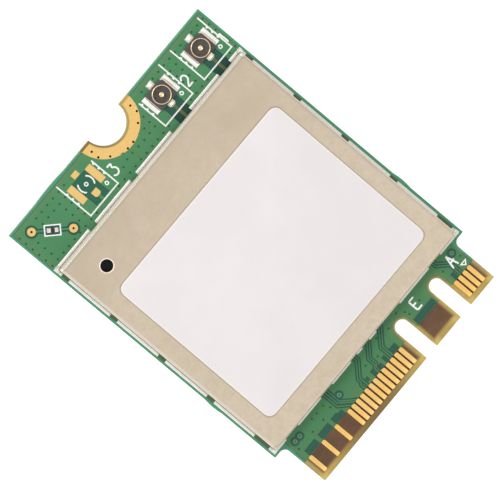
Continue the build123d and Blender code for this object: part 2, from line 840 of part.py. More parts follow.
# Printed white marks: frames round the receptacle sites and the resistor, and the first contact's triangle
with BuildPart() as silkscreen:
    with BuildSketch(Plane.XY.offset(board_thickness - copper_thickness)):
        dot_marks = [(spare_x, receptacle_y)]
        for x, left_top, right_top in (
            (receptacle_x[0], frame_tall, frame_tall),
            (receptacle_x[1], frame_short, frame_tall),
            (spare_x, frame_tall, frame_short),
        ):
            with BuildLine():
                Polyline(
                    (x - frame_half_width, receptacle_y + left_top),
                    (x - frame_half_width, receptacle_y - frame_front),
                    (x + frame_half_width, receptacle_y - frame_front),
                    (x + frame_half_width, receptacle_y + right_top),
                )
            trace(line_width=frame_line)
            dot_marks.append((x + dot_mark_x, receptacle_y + dot_mark_y))
        with Locations(*dot_marks):
            RegularPolygon(dot_mark_radius, small_round_sides)
            RegularPolygon(dot_mark_bore, small_round_sides, mode=Mode.SUBTRACT)
        for start_angle in (-spare_arc_sweep / 2, 180 - spare_arc_sweep / 2):
            with BuildLine():
                CenterArc((spare_x, receptacle_y), spare_arc_radius, start_angle, spare_arc_sweep)
            trace(line_width=frame_line)
        with Locations(test_middle):
            Rectangle(resistor_frame_length + frame_line / 2, resistor_frame_width + frame_line / 2)
            Rectangle(
                resistor_frame_length - frame_line, resistor_frame_width - frame_line, mode=Mode.SUBTRACT
            )
        triangle_tip = top_mask_edge_y + triangle_gap
        with BuildLine():
            Polyline(
                (contact_x(1) - triangle_half, triangle_tip + triangle_depth),
                (contact_x(1) + triangle_half, triangle_tip + triangle_depth),
                (contact_x(1), triangle_tip),
                close=True,
            )
            offset(amount=-triangle_line / 2, mode=Mode.PRIVATE)
        make_face()
        with Locations((contact_x(1), triangle_tip + 0.6 * triangle_depth)):
            Circle(triangle_line, mode=Mode.SUBTRACT)
        with Locations((0, far_end_y)):
            Circle(screw_pad_radius, mode=Mode.SUBTRACT)
    extrude(amount=copper_thickness + ink_thickness)
    add(mask_top.part, mode=Mode.SUBTRACT)
export_named(silkscreen.part, "silkscreen")

# Radio chip on its lands, with the pad that takes its heat to the shield
with BuildPart() as radio_lands:
    with BuildSketch(Plane((*radio_place, board_thickness))):
        Rectangle(centre_land_share * radio_size, centre_land_share * radio_size)
        row = (radio_size - land_length) / 2
        land_pitch = land_row_share * radio_size / (lands_per_side - 1)
        for turn in (0, 90, 180, 270):
            with Locations(Location((0, 0), turn)):
                with Locations((0, row)):
                    with GridLocations(land_pitch, 1, lands_per_side, 1):
                        Rectangle(land_width, land_length)
    extrude(amount=land_height)
export_named(radio_lands.part, "radio_lands")

with BuildPart() as radio_chip:
    with BuildSketch(Plane((*radio_place, board_thickness + land_height))):
        Rectangle(radio_size, radio_size)
    extrude(amount=radio_thickness)
export_named(radio_chip.part, "radio_chip")

radio_top = board_thickness + land_height + radio_thickness
with BuildPart() as heat_pad:
    with BuildSketch(Plane((*radio_place, radio_top))):
        Rectangle(heat_pad_share * radio_size, heat_pad_share * radio_size)
    extrude(amount=shield_ceiling - radio_top)
export_named(heat_pad.part, "heat_pad")

# Front-end modules and diplexers
with BuildPart() as front_ends:
    with BuildSketch(Plane.XY.offset(board_thickness)):
        with Locations(*[(x + front_end_shift, behind(front_end_rear_share)) for x in receptacle_x]):
            Rectangle(front_end_width, front_end_share * shield_length)
    extrude(amount=front_end_height)
export_named(front_ends.part, "front_end_modules")

diplexer_bodies, diplexer_ends = chips(
    [Location((x, behind(diplexer_rear_share)), 90) for x in receptacle_x],
    diplexer_share * shield_length, diplexer_width, diplexer_height, diplexer_end,
)
export_named(diplexer_bodies, "diplexer_bodies")
export_named(diplexer_ends, "diplexer_ends")

# Clock crystal: ceramic base and welded metal lid
crystal_place = (radio_left - crystal_from_radio, behind(crystal_rear_share))
with BuildPart() as crystal_base:
    with BuildSketch(Plane((*crystal_place, board_thickness))):
        Rectangle(crystal_width, crystal_length)
    extrude(amount=crystal_base_height)
export_named(crystal_base.part, "crystal_base")

with BuildPart() as crystal_lid:
    with BuildSketch(Plane((*crystal_place, board_thickness + crystal_base_height))):
        Rectangle(crystal_width - 2 * crystal_lid_margin, crystal_length - 2 * crystal_lid_margin)
    extrude(amount=crystal_lid_height)
export_named(crystal_lid.part, "crystal_lid")

# Memory chip
with BuildPart() as memory_chip:
    with BuildSketch(Plane((radio_left - memory_from_radio, behind(memory_rear_share), board_thickness))):
        Rectangle(memory_width, memory_length)
    extrude(amount=memory_height)
export_named(memory_chip.part, "memory_chip")

# Power inductors
inductor_bodies, inductor_ends = chips(
    [Location((radio_left - inductor_from_radio, behind(share))) for share in inductor_rear_shares],
    inductor_width, inductor_length, inductor_height, inductor_end,
)
export_named(inductor_bodies, "inductor_bodies")
export_named(inductor_ends, "inductor_ends")


def column(x, shares, turn):
    """Places one behind another at the same x."""
    return [Location((x, behind(share)), turn) for share in shares]


def row_of(places):
    """Places side by side, as distances from the middle of the radio."""
    return [Location((radio_place[0] + x, behind(share))) for x, share in places]


# Capacitors in two sizes, and resistors
wall_x = wall_column - shield_width / 2
large_bodies, large_ends = chips(
    column(radio_left - near_column, left_capacitor_shares, 90)
    + column(radio_right + near_column, right_capacitor_shares, 90)
    + column(wall_x, wall_capacitor_shares, 90)
    + row_of(rear_row)
    + row_of(front_row),
    capacitor_length, capacitor_width, capacitor_height, capacitor_end,
)
small_bodies, small_ends = chips(
    column(radio_right + far_column, right_small_shares, 0)
    + [Location((x - feed_part_gap, behind(feed_part_rear_share)), 90) for x in receptacle_x],
    small_part_length, small_part_width, small_part_height, small_part_end,
)
with BuildPart() as capacitor_bodies:
    add(large_bodies)
    add(small_bodies)
export_named(capacitor_bodies.part, "capacitor_bodies")
with BuildPart() as capacitor_ends:
    add(large_ends)
    add(small_ends)
export_named(capacitor_ends.part, "capacitor_ends")

small_resistor_bodies, small_resistor_ends = chips(
    column(radio_left - near_column, left_resistor_shares, 90)
    + column(shield_width / 2 - wall_column, right_resistor_shares, 0)
    + column(wall_x, wall_resistor_shares, 90)
    + row_of(front_resistor_row),
    small_part_length, small_part_width, small_part_height, small_part_end,
)
export_named(small_resistor_bodies, "resistor_bodies")
export_named(small_resistor_ends, "resistor_ends")
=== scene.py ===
"""Looks of a plug-in wireless card: green board, gold contacts, folded shield with a blank label, and two
coaxial antenna receptacles, on a pale floor in soft light. Lengths below are in millimetres unless they say
metres, in the card's own frame: +Z out of the component side, +Y towards the screw notch."""

import math

import bpy
import numpy as np
from mathutils import Matrix, Vector


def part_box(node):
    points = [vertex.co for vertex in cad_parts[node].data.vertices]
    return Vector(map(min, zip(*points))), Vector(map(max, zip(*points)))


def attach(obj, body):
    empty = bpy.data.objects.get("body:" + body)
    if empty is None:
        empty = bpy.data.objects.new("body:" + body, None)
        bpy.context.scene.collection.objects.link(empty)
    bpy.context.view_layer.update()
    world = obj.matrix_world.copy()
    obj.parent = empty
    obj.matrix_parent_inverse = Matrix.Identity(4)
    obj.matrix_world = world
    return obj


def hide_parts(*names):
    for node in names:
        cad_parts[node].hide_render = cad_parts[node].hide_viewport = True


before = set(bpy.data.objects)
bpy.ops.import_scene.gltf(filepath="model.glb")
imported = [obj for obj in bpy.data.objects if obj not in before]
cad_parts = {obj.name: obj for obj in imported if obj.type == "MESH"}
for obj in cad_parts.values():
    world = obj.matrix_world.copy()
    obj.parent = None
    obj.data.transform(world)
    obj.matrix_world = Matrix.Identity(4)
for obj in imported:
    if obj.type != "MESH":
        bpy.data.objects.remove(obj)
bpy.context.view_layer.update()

bl_info = {
    "name": "Wireless card looks",
    "version": (1, 0, 0),
    "blender": (4, 5, 0),
    "location": "View3D > Sidebar > Card",
    "description": "Surfaces, finishes and a soft-light stage for a plug-in wireless card",
    "category": "Object",
}

MM = 0.001

# Heights
BOARD_MIDDLE = 0.40
INK_LOW = 0.768
PAD_TOP = 0.785
MASK_TOP = 0.80
TAB_LOW = 0.81
TAB_TOP = 0.90
BASE_TOP = 1.035
RING_TOP = 1.40
SHIELD_TOP = 2.15

# Places on the board
FAR_END = 15.0
SITE_ROW = 13.05
RECEPTACLES = [8.87, 4.35]
SPARE_SITE = (-4.35, SITE_ROW)
KEY_SLOTS = [6.625, 2.625]
SLOT_HEAD = -12.10
VENT = (-8.05, 8.10)

# Contacts of the component side have odd numbers, and from one number to the next is half a pitch
FIRST_CONTACT = 9.25
CONTACT_STEP = 0.25
CONTACT_HALF_WIDTH = 0.182
TOP_CONTACTS = [1, 3, 5, 7, *range(33, 58, 2), 63, 69, 75]

# Shield walls stand on this square, and the gaps between its feet are a middle and a width
SHIELD_HALF = 10.55
SIDE_GAPS = [(-9.453, 1.45), (-4.42, 0.72), (0.348, 0.70), (5.053, 0.70), (9.748, 0.70)]
REAR_GAPS = [(-6.446, 0.76), (-1.688, 0.73), (3.80, 2.24), (8.87, 1.32)]
FRONT_GAPS = [(-8.704, 1.40), (-4.684, 1.35), (-1.477, 0.75), (-0.084, 0.85), (2.49, 2.73), (7.934, 1.35)]

# The label's corners start easing a little before the round of the same look would
LABEL_MIDDLE = (0.07, -1.25)
LABEL_HALF = (9.05, 7.525)
LABEL_CORNER = 0.55
LABEL_EASED_FROM = 0.75
LABEL_TURN = -0.45

# Floor: half side in metres, height in millimetres
FLOOR_HALF = 0.6
FLOOR_HEIGHT = -0.03

# Camera: turns in degrees, lens in millimetres, distance in metres
CAMERA_LEAN = 6.655
CAMERA_ASIDE = -1.601
CAMERA_ROLL = 50.066
CAMERA_LENS = 535.0
CAMERA_DISTANCE = 0.5545
CAMERA_AIM = (-0.2827, 0.4658, 0.8)


def shade(red, green, blue):
    """A colour read off a screen, 0 to 255, as the linear light that the shaders take."""
    c = np.array([red, green, blue]) / 255.0
    return tuple(np.where(c <= 0.04045, c / 12.92, ((c + 0.055) / 1.055) ** 2.4).tolist())


def mirrored(x0, x1, y0, y1):
    """A rectangle and its mirror image across the card's long middle line."""
    return [(x0, x1, y0, y1), (-x1, -x0, y0, y1)]


def box_of(node):
    """Lowest and highest corner of a CAD node."""
    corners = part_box(node)
    return corners[0] / MM, corners[1] / MM


# Surfaces

def eased_outline(corners, radii, steps=6):
    """Closed outline of a polygon with eased corners. Each corner C becomes the parabola from A to B, the
    points that lie its radius before and after it: (1-t)^2 A + 2t(1-t) C + t^2 B for t from 0 to 1."""
    c = np.asarray(corners, float)
    r = np.broadcast_to(np.asarray(radii, float), len(c))[:, None]
    before = np.roll(c, 1, 0) - c
    after = np.roll(c, -1, 0) - c
    a = c + before / np.linalg.norm(before, axis=1, keepdims=True) * r
    b = c + after / np.linalg.norm(after, axis=1, keepdims=True) * r
    t = np.linspace(0, 1, steps)[None, :, None]
    curve = (1 - t) ** 2 * a[:, None] + 2 * t * (1 - t) * c[:, None] + t ** 2 * b[:, None]
    return curve.reshape(-1, 2)


def oblong(half_x, half_y, radii, steps=6, inset=0.0):
    """Rounded rectangle about the origin, counter-clockwise from its lower left, drawn in by the inset."""
    hx, hy = half_x - inset, half_y - inset
    radii = np.broadcast_to(np.asarray(radii, float), 4)
    return eased_outline(corners_of(hx, hy), np.maximum(radii - inset, 0.2 * radii + 1e-4), steps)


def corners_of(half_x, half_y):
    """Corners of a rectangle about the origin."""
    return [(-half_x, -half_y), (half_x, -half_y), (half_x, half_y), (-half_x, half_y)]


def stacked(outlines, heights):
    """Rings of a surface: flat outlines carried up to their heights, as one array of rings by points by 3."""
    return np.stack([np.column_stack([o, np.full(len(o), z)]) for o, z in zip(outlines, heights)])


def circles(radii, heights, steps):
    """Rings of a turned surface: the profile of radius against height, carried round the Z axis."""
    angle = np.linspace(0, 2 * math.pi, steps, endpoint=False)
    ring = np.column_stack([np.cos(angle), np.sin(angle)])
    r = np.asarray(radii, float)[:, None, None]
    z = np.broadcast_to(np.asarray(heights, float)[:, None, None], (len(radii), steps, 1))
    return np.concatenate([r * ring[None], z], axis=2)


def skin(rings, loop=False):
    """Points and faces of the surface through closed rings, with a pole at the middle of the first and last.
    With loop, it has no poles and the last ring joins the first, as on a washer."""
    count, steps, _ = rings.shape
    k = np.arange(count if loop else count - 1)[:, None]
    i = np.arange(steps)[None, :]
    j = (i + 1) % steps
    k2 = (k + 1) % count
    quads = np.stack([k * steps + i, k * steps + j, k2 * steps + j, k2 * steps + i], -1).reshape(-1, 4)
    points = rings.reshape(-1, 3)
    if loop:
        return points, quads.tolist()
    i, j = i[0], j[0]
    pole, top = count * steps, (count - 1) * steps
    first = np.stack([j, i, np.full(steps, pole)], -1)
    last = np.stack([top + i, top + j, np.full(steps, pole + 1)], -1)
    points = np.concatenate([points, rings[0].mean(0)[None], rings[-1].mean(0)[None]])
    return points, quads.tolist() + first.tolist() + last.tolist()


def turned(radii, heights, steps, loop=False):
    """Surface of a profile carried round the Z axis."""
    return skin(circles(radii, heights, steps), loop)


def gathered(parts):
    """One surface of several: their points end to end, and their faces counted on."""
    points, faces, start = [], [], 0
    for p, f in parts:
        points.append(p)
        faces += [[n + start for n in face] for face in f]
        start += len(p)
    return np.concatenate(points), faces


def placed(part, x=0.0, y=0.0, z=0.0, turn=0.0):
    """A surface turned about Z by degrees and set down at a place."""
    p, f = part
    a = math.radians(turn)
    spin = np.array([[math.cos(a), math.sin(a), 0], [-math.sin(a), math.cos(a), 0], [0, 0, 1]])
    return p @ spin + np.array([x, y, z]), f


def repeated(part, places):
    """Copies of a surface at many places, an array of x, y, z."""
    p, f = part
    places = np.asarray(places, float)
    points = (p[None] + places[:, None]).reshape(-1, 3)
    faces = [[n + k * len(p) for n in face] for k in range(len(places)) for face in f]
    return points, faces


def slab(half_x, half_y, radii, low, high, ease, steps=5):
    """Flat plate with an eased upper edge: a rounded rectangle carried up its side, then drawn in along a
    quarter round of the ease's radius, and closed over its middle."""
    turn = np.linspace(0, math.pi / 2, 5)
    insets = np.concatenate([[0], ease * (1 - np.cos(turn))])
    heights = np.concatenate([[low], high - ease + ease * np.sin(turn)])
    return skin(stacked([oblong(half_x, half_y, radii, steps, d) for d in insets], heights))


def pillow(half_x, half_y, radii, low, edge, high, waver=0.0, seed=0.0):
    """Puddle of solder: a rounded rectangle whose height rises from its edge to its middle as 1-(1-s)^2.4 of
    the way s across, with slow sine waves of the waver's height along it."""
    share = np.array([0, 0.02, 0.08, 0.18, 0.32, 0.5, 0.72, 0.9])
    outlines = [oblong(half_x * (1 - 0.94 * s), half_y - half_x * 0.94 * s, np.asarray(radii) * (1 - 0.8 * s))
                for s in share]
    rings = stacked(outlines, edge + (high - edge) * (1 - (1 - share) ** 2.4))
    wave = np.sin(rings[..., 1] * 9.0 + seed) * np.cos(rings[..., 0] * 13.0 + 2 * seed)
    rings[..., 2] += waver * wave * share[:, None]
    foot = rings[0].copy()
    foot[:, 2] = low
    return skin(np.concatenate([foot[None], rings]))


def stroke(path, width, low, high):
    """Line of thick ink: half an ellipse of the line's width, low to high, carried along the path. Its ends
    are round and lower, because the width there follows a half circle, and the height the root of that."""
    p = np.asarray(path, float)
    along = distance_along(p)
    half = width / 2
    ends = half * (1 - np.cos(np.linspace(0, math.pi / 2, 5)))
    inner = np.linspace(half, along[-1] - half, max(2, int(along[-1] / 0.12)))
    bends = along[(along > half) & (along < along[-1] - half)]
    s = np.unique(np.round(np.concatenate([ends, inner, along[-1] - ends, bends]), 4))
    mid = np.column_stack([np.interp(s, along, p[:, 0]), np.interp(s, along, p[:, 1])])
    tangent = np.gradient(mid, s, axis=0)
    tangent /= np.linalg.norm(tangent, axis=1, keepdims=True)
    left = np.column_stack([-tangent[:, 1], tangent[:, 0]])
    near = np.minimum(np.minimum(s, along[-1] - s), half)
    reach = np.sqrt(np.maximum(half ** 2 - (half - near) ** 2, 1e-8))
    angle = np.linspace(0, 2 * math.pi, 10, endpoint=False)
    across = np.cos(angle)
    level = (low + high) / 2
    dome = (reach / half).clip(0.3, 1.0)[:, None] ** 0.5
    arch = np.sqrt(np.maximum(np.sin(angle), 0))
    z = np.where(np.sin(angle) > -1e-9, level + arch * (high - level) * dome, low)
    rings = np.empty((len(s), len(angle), 3))
    rings[..., :2] = mid[:, None] + left[:, None] * (reach[:, None] * across[None])[..., None]
    rings[..., 2] = z
    return skin(rings)


def distance_along(path):
    """How far each point of a path lies along it."""
    return np.concatenate([[0], np.cumsum(np.linalg.norm(np.diff(path, axis=0), axis=1))])


def put(name, part, finish, replaces=()):
    """Makes the piece: its points, in metres, and its faces, its finish, and the body that it rides on."""
    points, faces = part
    mesh = bpy.data.meshes.new(name)
    mesh.from_pydata((points * MM).tolist(), [], faces)
    mesh.validate()
    mesh.polygons.foreach_set("use_smooth", np.full(len(mesh.polygons), True))
    mesh.update()
    piece = bpy.data.objects.new(name, mesh)
    bpy.context.scene.collection.objects.link(piece)
    mesh.materials.append(finish)
    mesh.set_sharp_from_angle(angle=math.radians(38))
    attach(piece, "root")
    if replaces:
        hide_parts(*replaces)


def dress(finish, *nodes):
    """Gives CAD pieces their finish."""
    for name in nodes:
        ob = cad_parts[name]
        if not ob.material_slots:
            ob.data.materials.append(finish)
        for slot in ob.material_slots:
            slot.material = finish


# Finishes

class Graph:
    """A tree of shader nodes, and the sums, steps and mixes that are made with them."""

    def __init__(self, tree):
        self.tree = tree
        self.tree.nodes.clear()

    def feed(self, socket, value):
        """Links a socket to another one, or sets its value. A colour of three numbers gets its fourth."""
        if isinstance(value, bpy.types.NodeSocket):
            self.tree.links.new(value, socket)
        elif value is not None:
            if socket.type == "RGBA" and len(value) == 3:
                value = (*value, 1.0)
            socket.default_value = value

    def node(self, kind, inputs=None, **settings):
        n = self.tree.nodes.new(kind)
        for key, value in settings.items():
            setattr(n, key, value)
        for key, value in (inputs or {}).items():
            self.feed(n.inputs[key], value)
        return n

    def math(self, operation, a, b=None):
        return self.node("ShaderNodeMath", {0: a, 1: b}, operation=operation).outputs[0]

    def plus(self, a, b):
        return self.math("ADD", a, b)

    def minus(self, a, b):
        return self.math("SUBTRACT", a, b)

    def times(self, a, b):
        return self.math("MULTIPLY", a, b)

    def most(self, a, b):
        return self.math("MAXIMUM", a, b)

    def off(self, value, middle):
        """How far a value lies from a middle one, on either side."""
        return self.math("ABSOLUTE", self.minus(value, middle))

    def diagonal(self, a, b):
        """Length of the line whose two sides are a and b."""
        return self.math("SQRT", self.plus(self.times(a, a), self.times(b, b)))

    def step(self, value, low, high, out_low=0.0, out_high=1.0):
        """Smooth step of a value from low to high."""
        n = self.node("ShaderNodeMapRange", {0: value, 1: low, 2: high, 3: out_low, 4: out_high},
                      interpolation_type="SMOOTHSTEP")
        return n.outputs[0]

    def mix(self, factor, a, b):
        return self.node("ShaderNodeMix", {0: factor, 6: a, 7: b}, data_type="RGBA").outputs[2]

    def over(self, tone, *layers):
        """The tone with colours laid over it in turn. Each layer is its mask, 0 to 1, and its colour."""
        for where, colour in layers:
            tone = self.mix(where, tone, colour)
        return tone

    def white_ray(self):
        """1 for rays that come from the camera, or by way of metal or glass, and 0 for the rest."""
        seen = self.node("ShaderNodeLightPath").outputs
        return self.most(self.most(seen["Is Camera Ray"], seen["Is Glossy Ray"]), seen["Is Transmission Ray"])

    def end(self, shader, kind):
        """Ends the tree in its output."""
        self.tree.links.new(shader.outputs[0], self.node(kind).inputs[0])


class Finish(Graph):
    """Nodes of one material. Every pattern is on Object coordinates, with its scale in turns per metre, and
    x, y and z are those coordinates in millimetres."""

    def __init__(self, name):
        self.material = bpy.data.materials.new(name)
        self.material.use_nodes = True
        super().__init__(self.material.node_tree)
        self.coord = self.node("ShaderNodeTexCoord").outputs["Object"]
        scaled = self.node("ShaderNodeVectorMath", {0: self.coord, "Scale": 1 / MM}, operation="SCALE")
        self.x, self.y, self.z = self.node("ShaderNodeSeparateXYZ", {0: scaled.outputs[0]}).outputs

    def noise(self, scale, detail=3.0, rough=0.5, distort=0.0):
        return self.cloud(self.coord, scale, detail, rough, distort)

    def streaks(self, sx, sy, sz, detail=3.0, rough=0.6):
        """Noise with a scale of its own along each axis."""
        vector = self.node("ShaderNodeMapping", {"Vector": self.coord, "Scale": (sx, sy, sz)}).outputs[0]
        return self.cloud(vector, 1.0, detail, rough, 0.0)

    def cloud(self, vector, scale, detail, rough, distort):
        return self.node("ShaderNodeTexNoise", {"Vector": vector, "Scale": scale, "Detail": detail,
                                                "Roughness": rough, "Distortion": distort}).outputs[0]

    def two_tone(self, pattern, a, b):
        """Two colours that change over softly at the middle of a pattern's range."""
        return self.mix(self.step(pattern, 0.3, 0.7), a, b)

    def boxes(self, places, soft, share=1.0):
        """That share inside any of the rectangles x0, x1, y0, y1, fading out over the soft width."""
        near = None
        for x0, x1, y0, y1 in places:
            dx = self.minus(self.off(self.x, (x0 + x1) / 2), (x1 - x0) / 2)
            dy = self.minus(self.off(self.y, (y0 + y1) / 2), (y1 - y0) / 2)
            d = self.most(dx, dy)
            near = d if near is None else self.math("MINIMUM", near, d)
        return self.step(near, soft / 2, -soft / 2, 0.0, share)

    def label_rim(self):
        """Distance out past the label's edge: the length of what lies past its inner rectangle, which is
        smaller by the corner's radius, less that radius. The label's turn is so small that its cosine is
        taken as 1."""
        skew = math.sin(math.radians(LABEL_TURN))
        dx, dy = self.minus(self.x, LABEL_MIDDLE[0]), self.minus(self.y, LABEL_MIDDLE[1])
        across = self.math("ABSOLUTE", self.plus(dx, self.times(dy, skew)))
        along = self.math("ABSOLUTE", self.minus(dy, self.times(dx, skew)))
        u, v = (self.minus(d, half - LABEL_CORNER) for d, half in zip((across, along), LABEL_HALF))
        past = self.diagonal(self.most(u, 0.0), self.most(v, 0.0))
        within = self.math("MINIMUM", self.most(u, v), 0.0)
        return self.minus(self.plus(past, within), LABEL_CORNER)

    def reach(self, place):
        """Distance from a place on the card, seen from above."""
        return self.diagonal(self.minus(self.x, place[0]), self.minus(self.y, place[1]))

    def bump(self, height, distance, normal=None):
        """Relief of that many millimetres where the height is 1."""
        inputs = {"Height": height, "Distance": distance * MM, "Strength": 1.0, "Normal": normal}
        return self.node("ShaderNodeBump", inputs).outputs[0]

    def close(self, colour, rough, normal=None, **others):
        """Ends the finish in its shader. What is the same all over is set on the shader's own sockets."""
        inputs = {"Base Color": colour, "Roughness": rough, "Normal": normal}
        inputs.update((key.replace("_", " "), value) for key, value in others.items())
        self.end(self.node("ShaderNodeBsdfPrincipled", inputs), "ShaderNodeOutputMaterial")
        return self.material


def mask_finish(c):
    """Green solder mask: lighter where it lies high, over copper, and darker in the lower ground, with painted
    shade under the shield's vent, in the shield's mouths over the feed lines and in the gaps between its side
    feet.
    """
    g = Finish("green_solder_mask")
    cloud = g.noise(260, 3.0, 0.55)
    grain = g.noise(5200, 2.0, 0.6)
    width = g.off(g.x, 0.0)
    on_tongue = g.step(g.y, -10.7, -11.1)
    # distance out past the copper's edge; its edge on the tongue counts there only, a metre off elsewhere
    out = g.most(g.minus(width, 10.78), g.minus(g.y, 14.78))
    away = g.times(g.minus(1.0, on_tongue), 1 / MM)
    out = g.most(out, g.minus(g.times(g.minus(width, 9.72), on_tongue), away))
    olive = g.most(g.step(out, -0.55, -0.05, 0.0, 0.55), g.step(g.y, -11.9, -12.7, 0.0, 0.5))
    slots = slot_distance(g)
    underside = g.over(
        g.two_tone(cloud, c.mask_over_copper, shade(79, 140, 93)),
        (g.step(g.noise(110, 2.0), 0.45, 0.75, 0.0, 0.4), shade(92, 130, 84)),
        (olive, shade(104, 134, 88)))
    high = g.over(
        underside,
        (g.times(on_tongue, 0.35), shade(62, 112, 70)),
        # darker and browner in the gaps between the shield's side feet: painted shade beside its wall
        (g.boxes(mirrored(10.5, 10.79, -10.3, 10.3), 0.08, 0.7), shade(92, 90, 54)),
        # more cleared ground between the lines, beside the contacts
        (g.boxes([(-0.90, -0.45, -13.0, -12.50), (-2.18, -1.90, -12.72, -12.38),
                  (-5.60, -5.02, -13.0, -12.47)], 0.09), shade(36, 88, 70)),
        (g.boxes([(x - 0.125, x + 0.125, 9.6, 12.4) for x in RECEPTACLES], 0.03), c.feed_line),
        (g.step(slots, 1.35, 0.85, 0.0, 0.6), shade(98, 134, 82)))
    low = g.over(
        c.mask_over_board,
        (g.boxes([(-11, 11, -13.2, -12.0)], 0.3), shade(36, 88, 70)),
        (g.step(out, -0.02, 0.08), c.mask_edge_band),
        (g.step(slots, 0.95, 0.86), shade(104, 136, 84)),
        # painted shade in the shield's mouths, where the feed lines run in under its wall
        (g.boxes([(x - 0.9, x + 0.9, 10.0, 11.2) for x in RECEPTACLES], 0.12), shade(18, 66, 52)),
        (g.boxes([(-6.3, -2.4, 11.0, 14.70)], 0.1), shade(35, 98, 74)),
        (g.boxes(mirrored(9.55, 11.1, -11.9, -10.40), 0.2), c.mask_edge_band))
    over_copper = g.step(g.off(g.z, BOARD_MIDDLE), 0.372, 0.392)
    colour = g.over(
        g.mix(over_copper, low, high),
        # painted shade: the mask under the shield's vent, seen through it, darkened
        (g.step(g.reach(VENT), 1.6, 1.2), shade(44, 46, 42)),
        (g.step(g.z, 0.5, 0.3), underside),
        (g.step(grain, 0.35, 0.75, 0.0, 0.10), shade(60, 110, 80)))
    return g.close(colour, g.step(cloud, 0.2, 0.8, 0.34, 0.46), g.bump(g.noise(1700, 2.0), 0.0035),
                   Specular_IOR_Level=0.30)


def slot_distance(g):
    """Distance from the middle line of the nearer key slot, and past its end from the middle of its head."""
    past_head = g.most(g.minus(g.y, SLOT_HEAD), 0.0)
    distances = [g.diagonal(g.minus(g.x, x), past_head) for x in KEY_SLOTS]
    return g.math("MINIMUM", *distances)


def board_finish(c):
    """Glass-epoxy: tan, brown where inner copper shows through between the contacts, with painted shade in
    their narrow gaps, woven and layered.
    """
    g = Finish("glass_epoxy_board")
    cloud = g.noise(330, 3.0, 0.6)
    threads = {"Vector": g.coord, "Scale": 1500.0, "Distortion": 2.5, "Detail": 2.0}
    weave = g.times(*(g.node("ShaderNodeTexWave", threads, bands_direction=way).outputs[0] for way in "XY"))
    layers = g.streaks(500, 500, 9000)
    shoulders = g.times(g.step(g.off(g.x, 0.0), 9.3, 9.9), g.step(g.y, -14.6, -14.1, 0.0, 0.6))
    tips = [(x0, x1, -15.3, -14.55) for x0, x1 in
            ((-10.2, -9.4), (1.6, 2.3), (3.0, 3.8), (5.4, 6.2), (7.1, 7.8), (9.4, 10.2))]
    heads = g.times(g.step(slot_distance(g), 1.05, 0.95), g.step(g.y, -12.7, -12.2, 0.0, 0.8))
    normal = g.node("ShaderNodeNewGeometry").outputs["Normal"]
    up = g.off(g.node("ShaderNodeSeparateXYZ", {0: normal}).outputs[2], 0.0)
    tan = g.over(
        g.two_tone(cloud, c.board_edge, shade(178, 150, 80)),
        (g.step(g.off(g.x, -3.8), 6.2, 0.4, 0.0, 0.88), shade(115, 92, 54)),
        (shoulders, shade(160, 147, 110)),
        (g.boxes(tips, 0.5, 0.8), shade(214, 188, 112)),
        (heads, shade(140, 138, 92)),
        # the cut sides, where the layers show
        (g.step(up, 0.7, 0.4), g.two_tone(layers, shade(160, 174, 150), shade(186, 191, 168))))
    shown = [(-9.56, 1.72, -14.54, -12.6), (3.48, 5.76, -14.50, -12.6), (7.58, 9.66, -14.54, -12.6)]
    # the narrow gaps between the contacts, where painted shade darkens the brown
    shaded_contact_gaps = [(-4.87, 1.37, -14.53, -12.6), (7.64, 9.34, -14.53, -12.6),
               *((x - 0.20, x + 0.20, -14.55, -12.6) for x in (-9.25, -7.75, -6.25))]
    colour = g.over(
        tan,
        (g.boxes(shown, 0.34), g.two_tone(g.noise(350, 2.0), c.inner_copper, shade(110, 79, 54))),
        (g.step(g.streaks(900, 3200, 1500), 0.35, 0.75, 0.0, 0.16), shade(134, 108, 92)),
        (g.step(weave, 0.3, 0.9, 0.0, 0.012), shade(225, 205, 160)),
        (g.boxes(shaded_contact_gaps, 0.06), shade(60, 28, 2)))
    relief = g.bump(weave, 0.0008, normal=g.bump(g.noise(4000, 2.0), 0.004))
    return g.close(colour, g.step(cloud, 0.2, 0.8, 0.42, 0.6), relief, Specular_IOR_Level=0.3)


def metal_finish(name, colour, second, rough, cloud_scale, relief=0.002, grain_scale=5000.0, spots=None,
                 notch_rim=None):
    """Plated or tinned metal: two tones in slow clouds, a fine grain in the gloss, and a shallow relief. The
    notch rim is a darker tone for a thin band round the rim of the screw notch."""
    g = Finish(name)
    cloud = g.noise(cloud_scale, 4.0, 0.6)
    grain = g.noise(grain_scale, 3.0, 0.6)
    tone = g.two_tone(cloud, colour, second)
    if spots is not None:
        tone = g.mix(g.step(g.noise(1500, 2.0), 0.62, 0.75, 0.0, 0.5), tone, spots)
    if notch_rim is not None:
        tone = g.mix(g.step(g.reach((0.0, FAR_END)), 1.97, 1.90, 0.0, 0.9), tone, notch_rim)
    gloss = g.plus(g.step(cloud, 0.3, 0.8, rough - 0.05, rough + 0.07), g.step(grain, 0.3, 0.8, -0.03, 0.05))
    return g.close(tone, gloss, g.bump(grain, relief), Metallic=1.0)


def plain_finish(name, colour, second, rough, scale, relief, specular=0.3):
    """Moulded plastic, ceramic, ink or rubber: a grain of two close tones on a matt, slightly rough skin."""
    g = Finish(name)
    grain = g.noise(scale, 3.0, 0.6)
    tone = g.two_tone(grain, colour, second)
    gloss = g.step(g.noise(scale / 9, 2.0), 0.3, 0.7, rough - 0.06, rough + 0.08)
    return g.close(tone, gloss, g.bump(grain, relief), Specular_IOR_Level=specular)


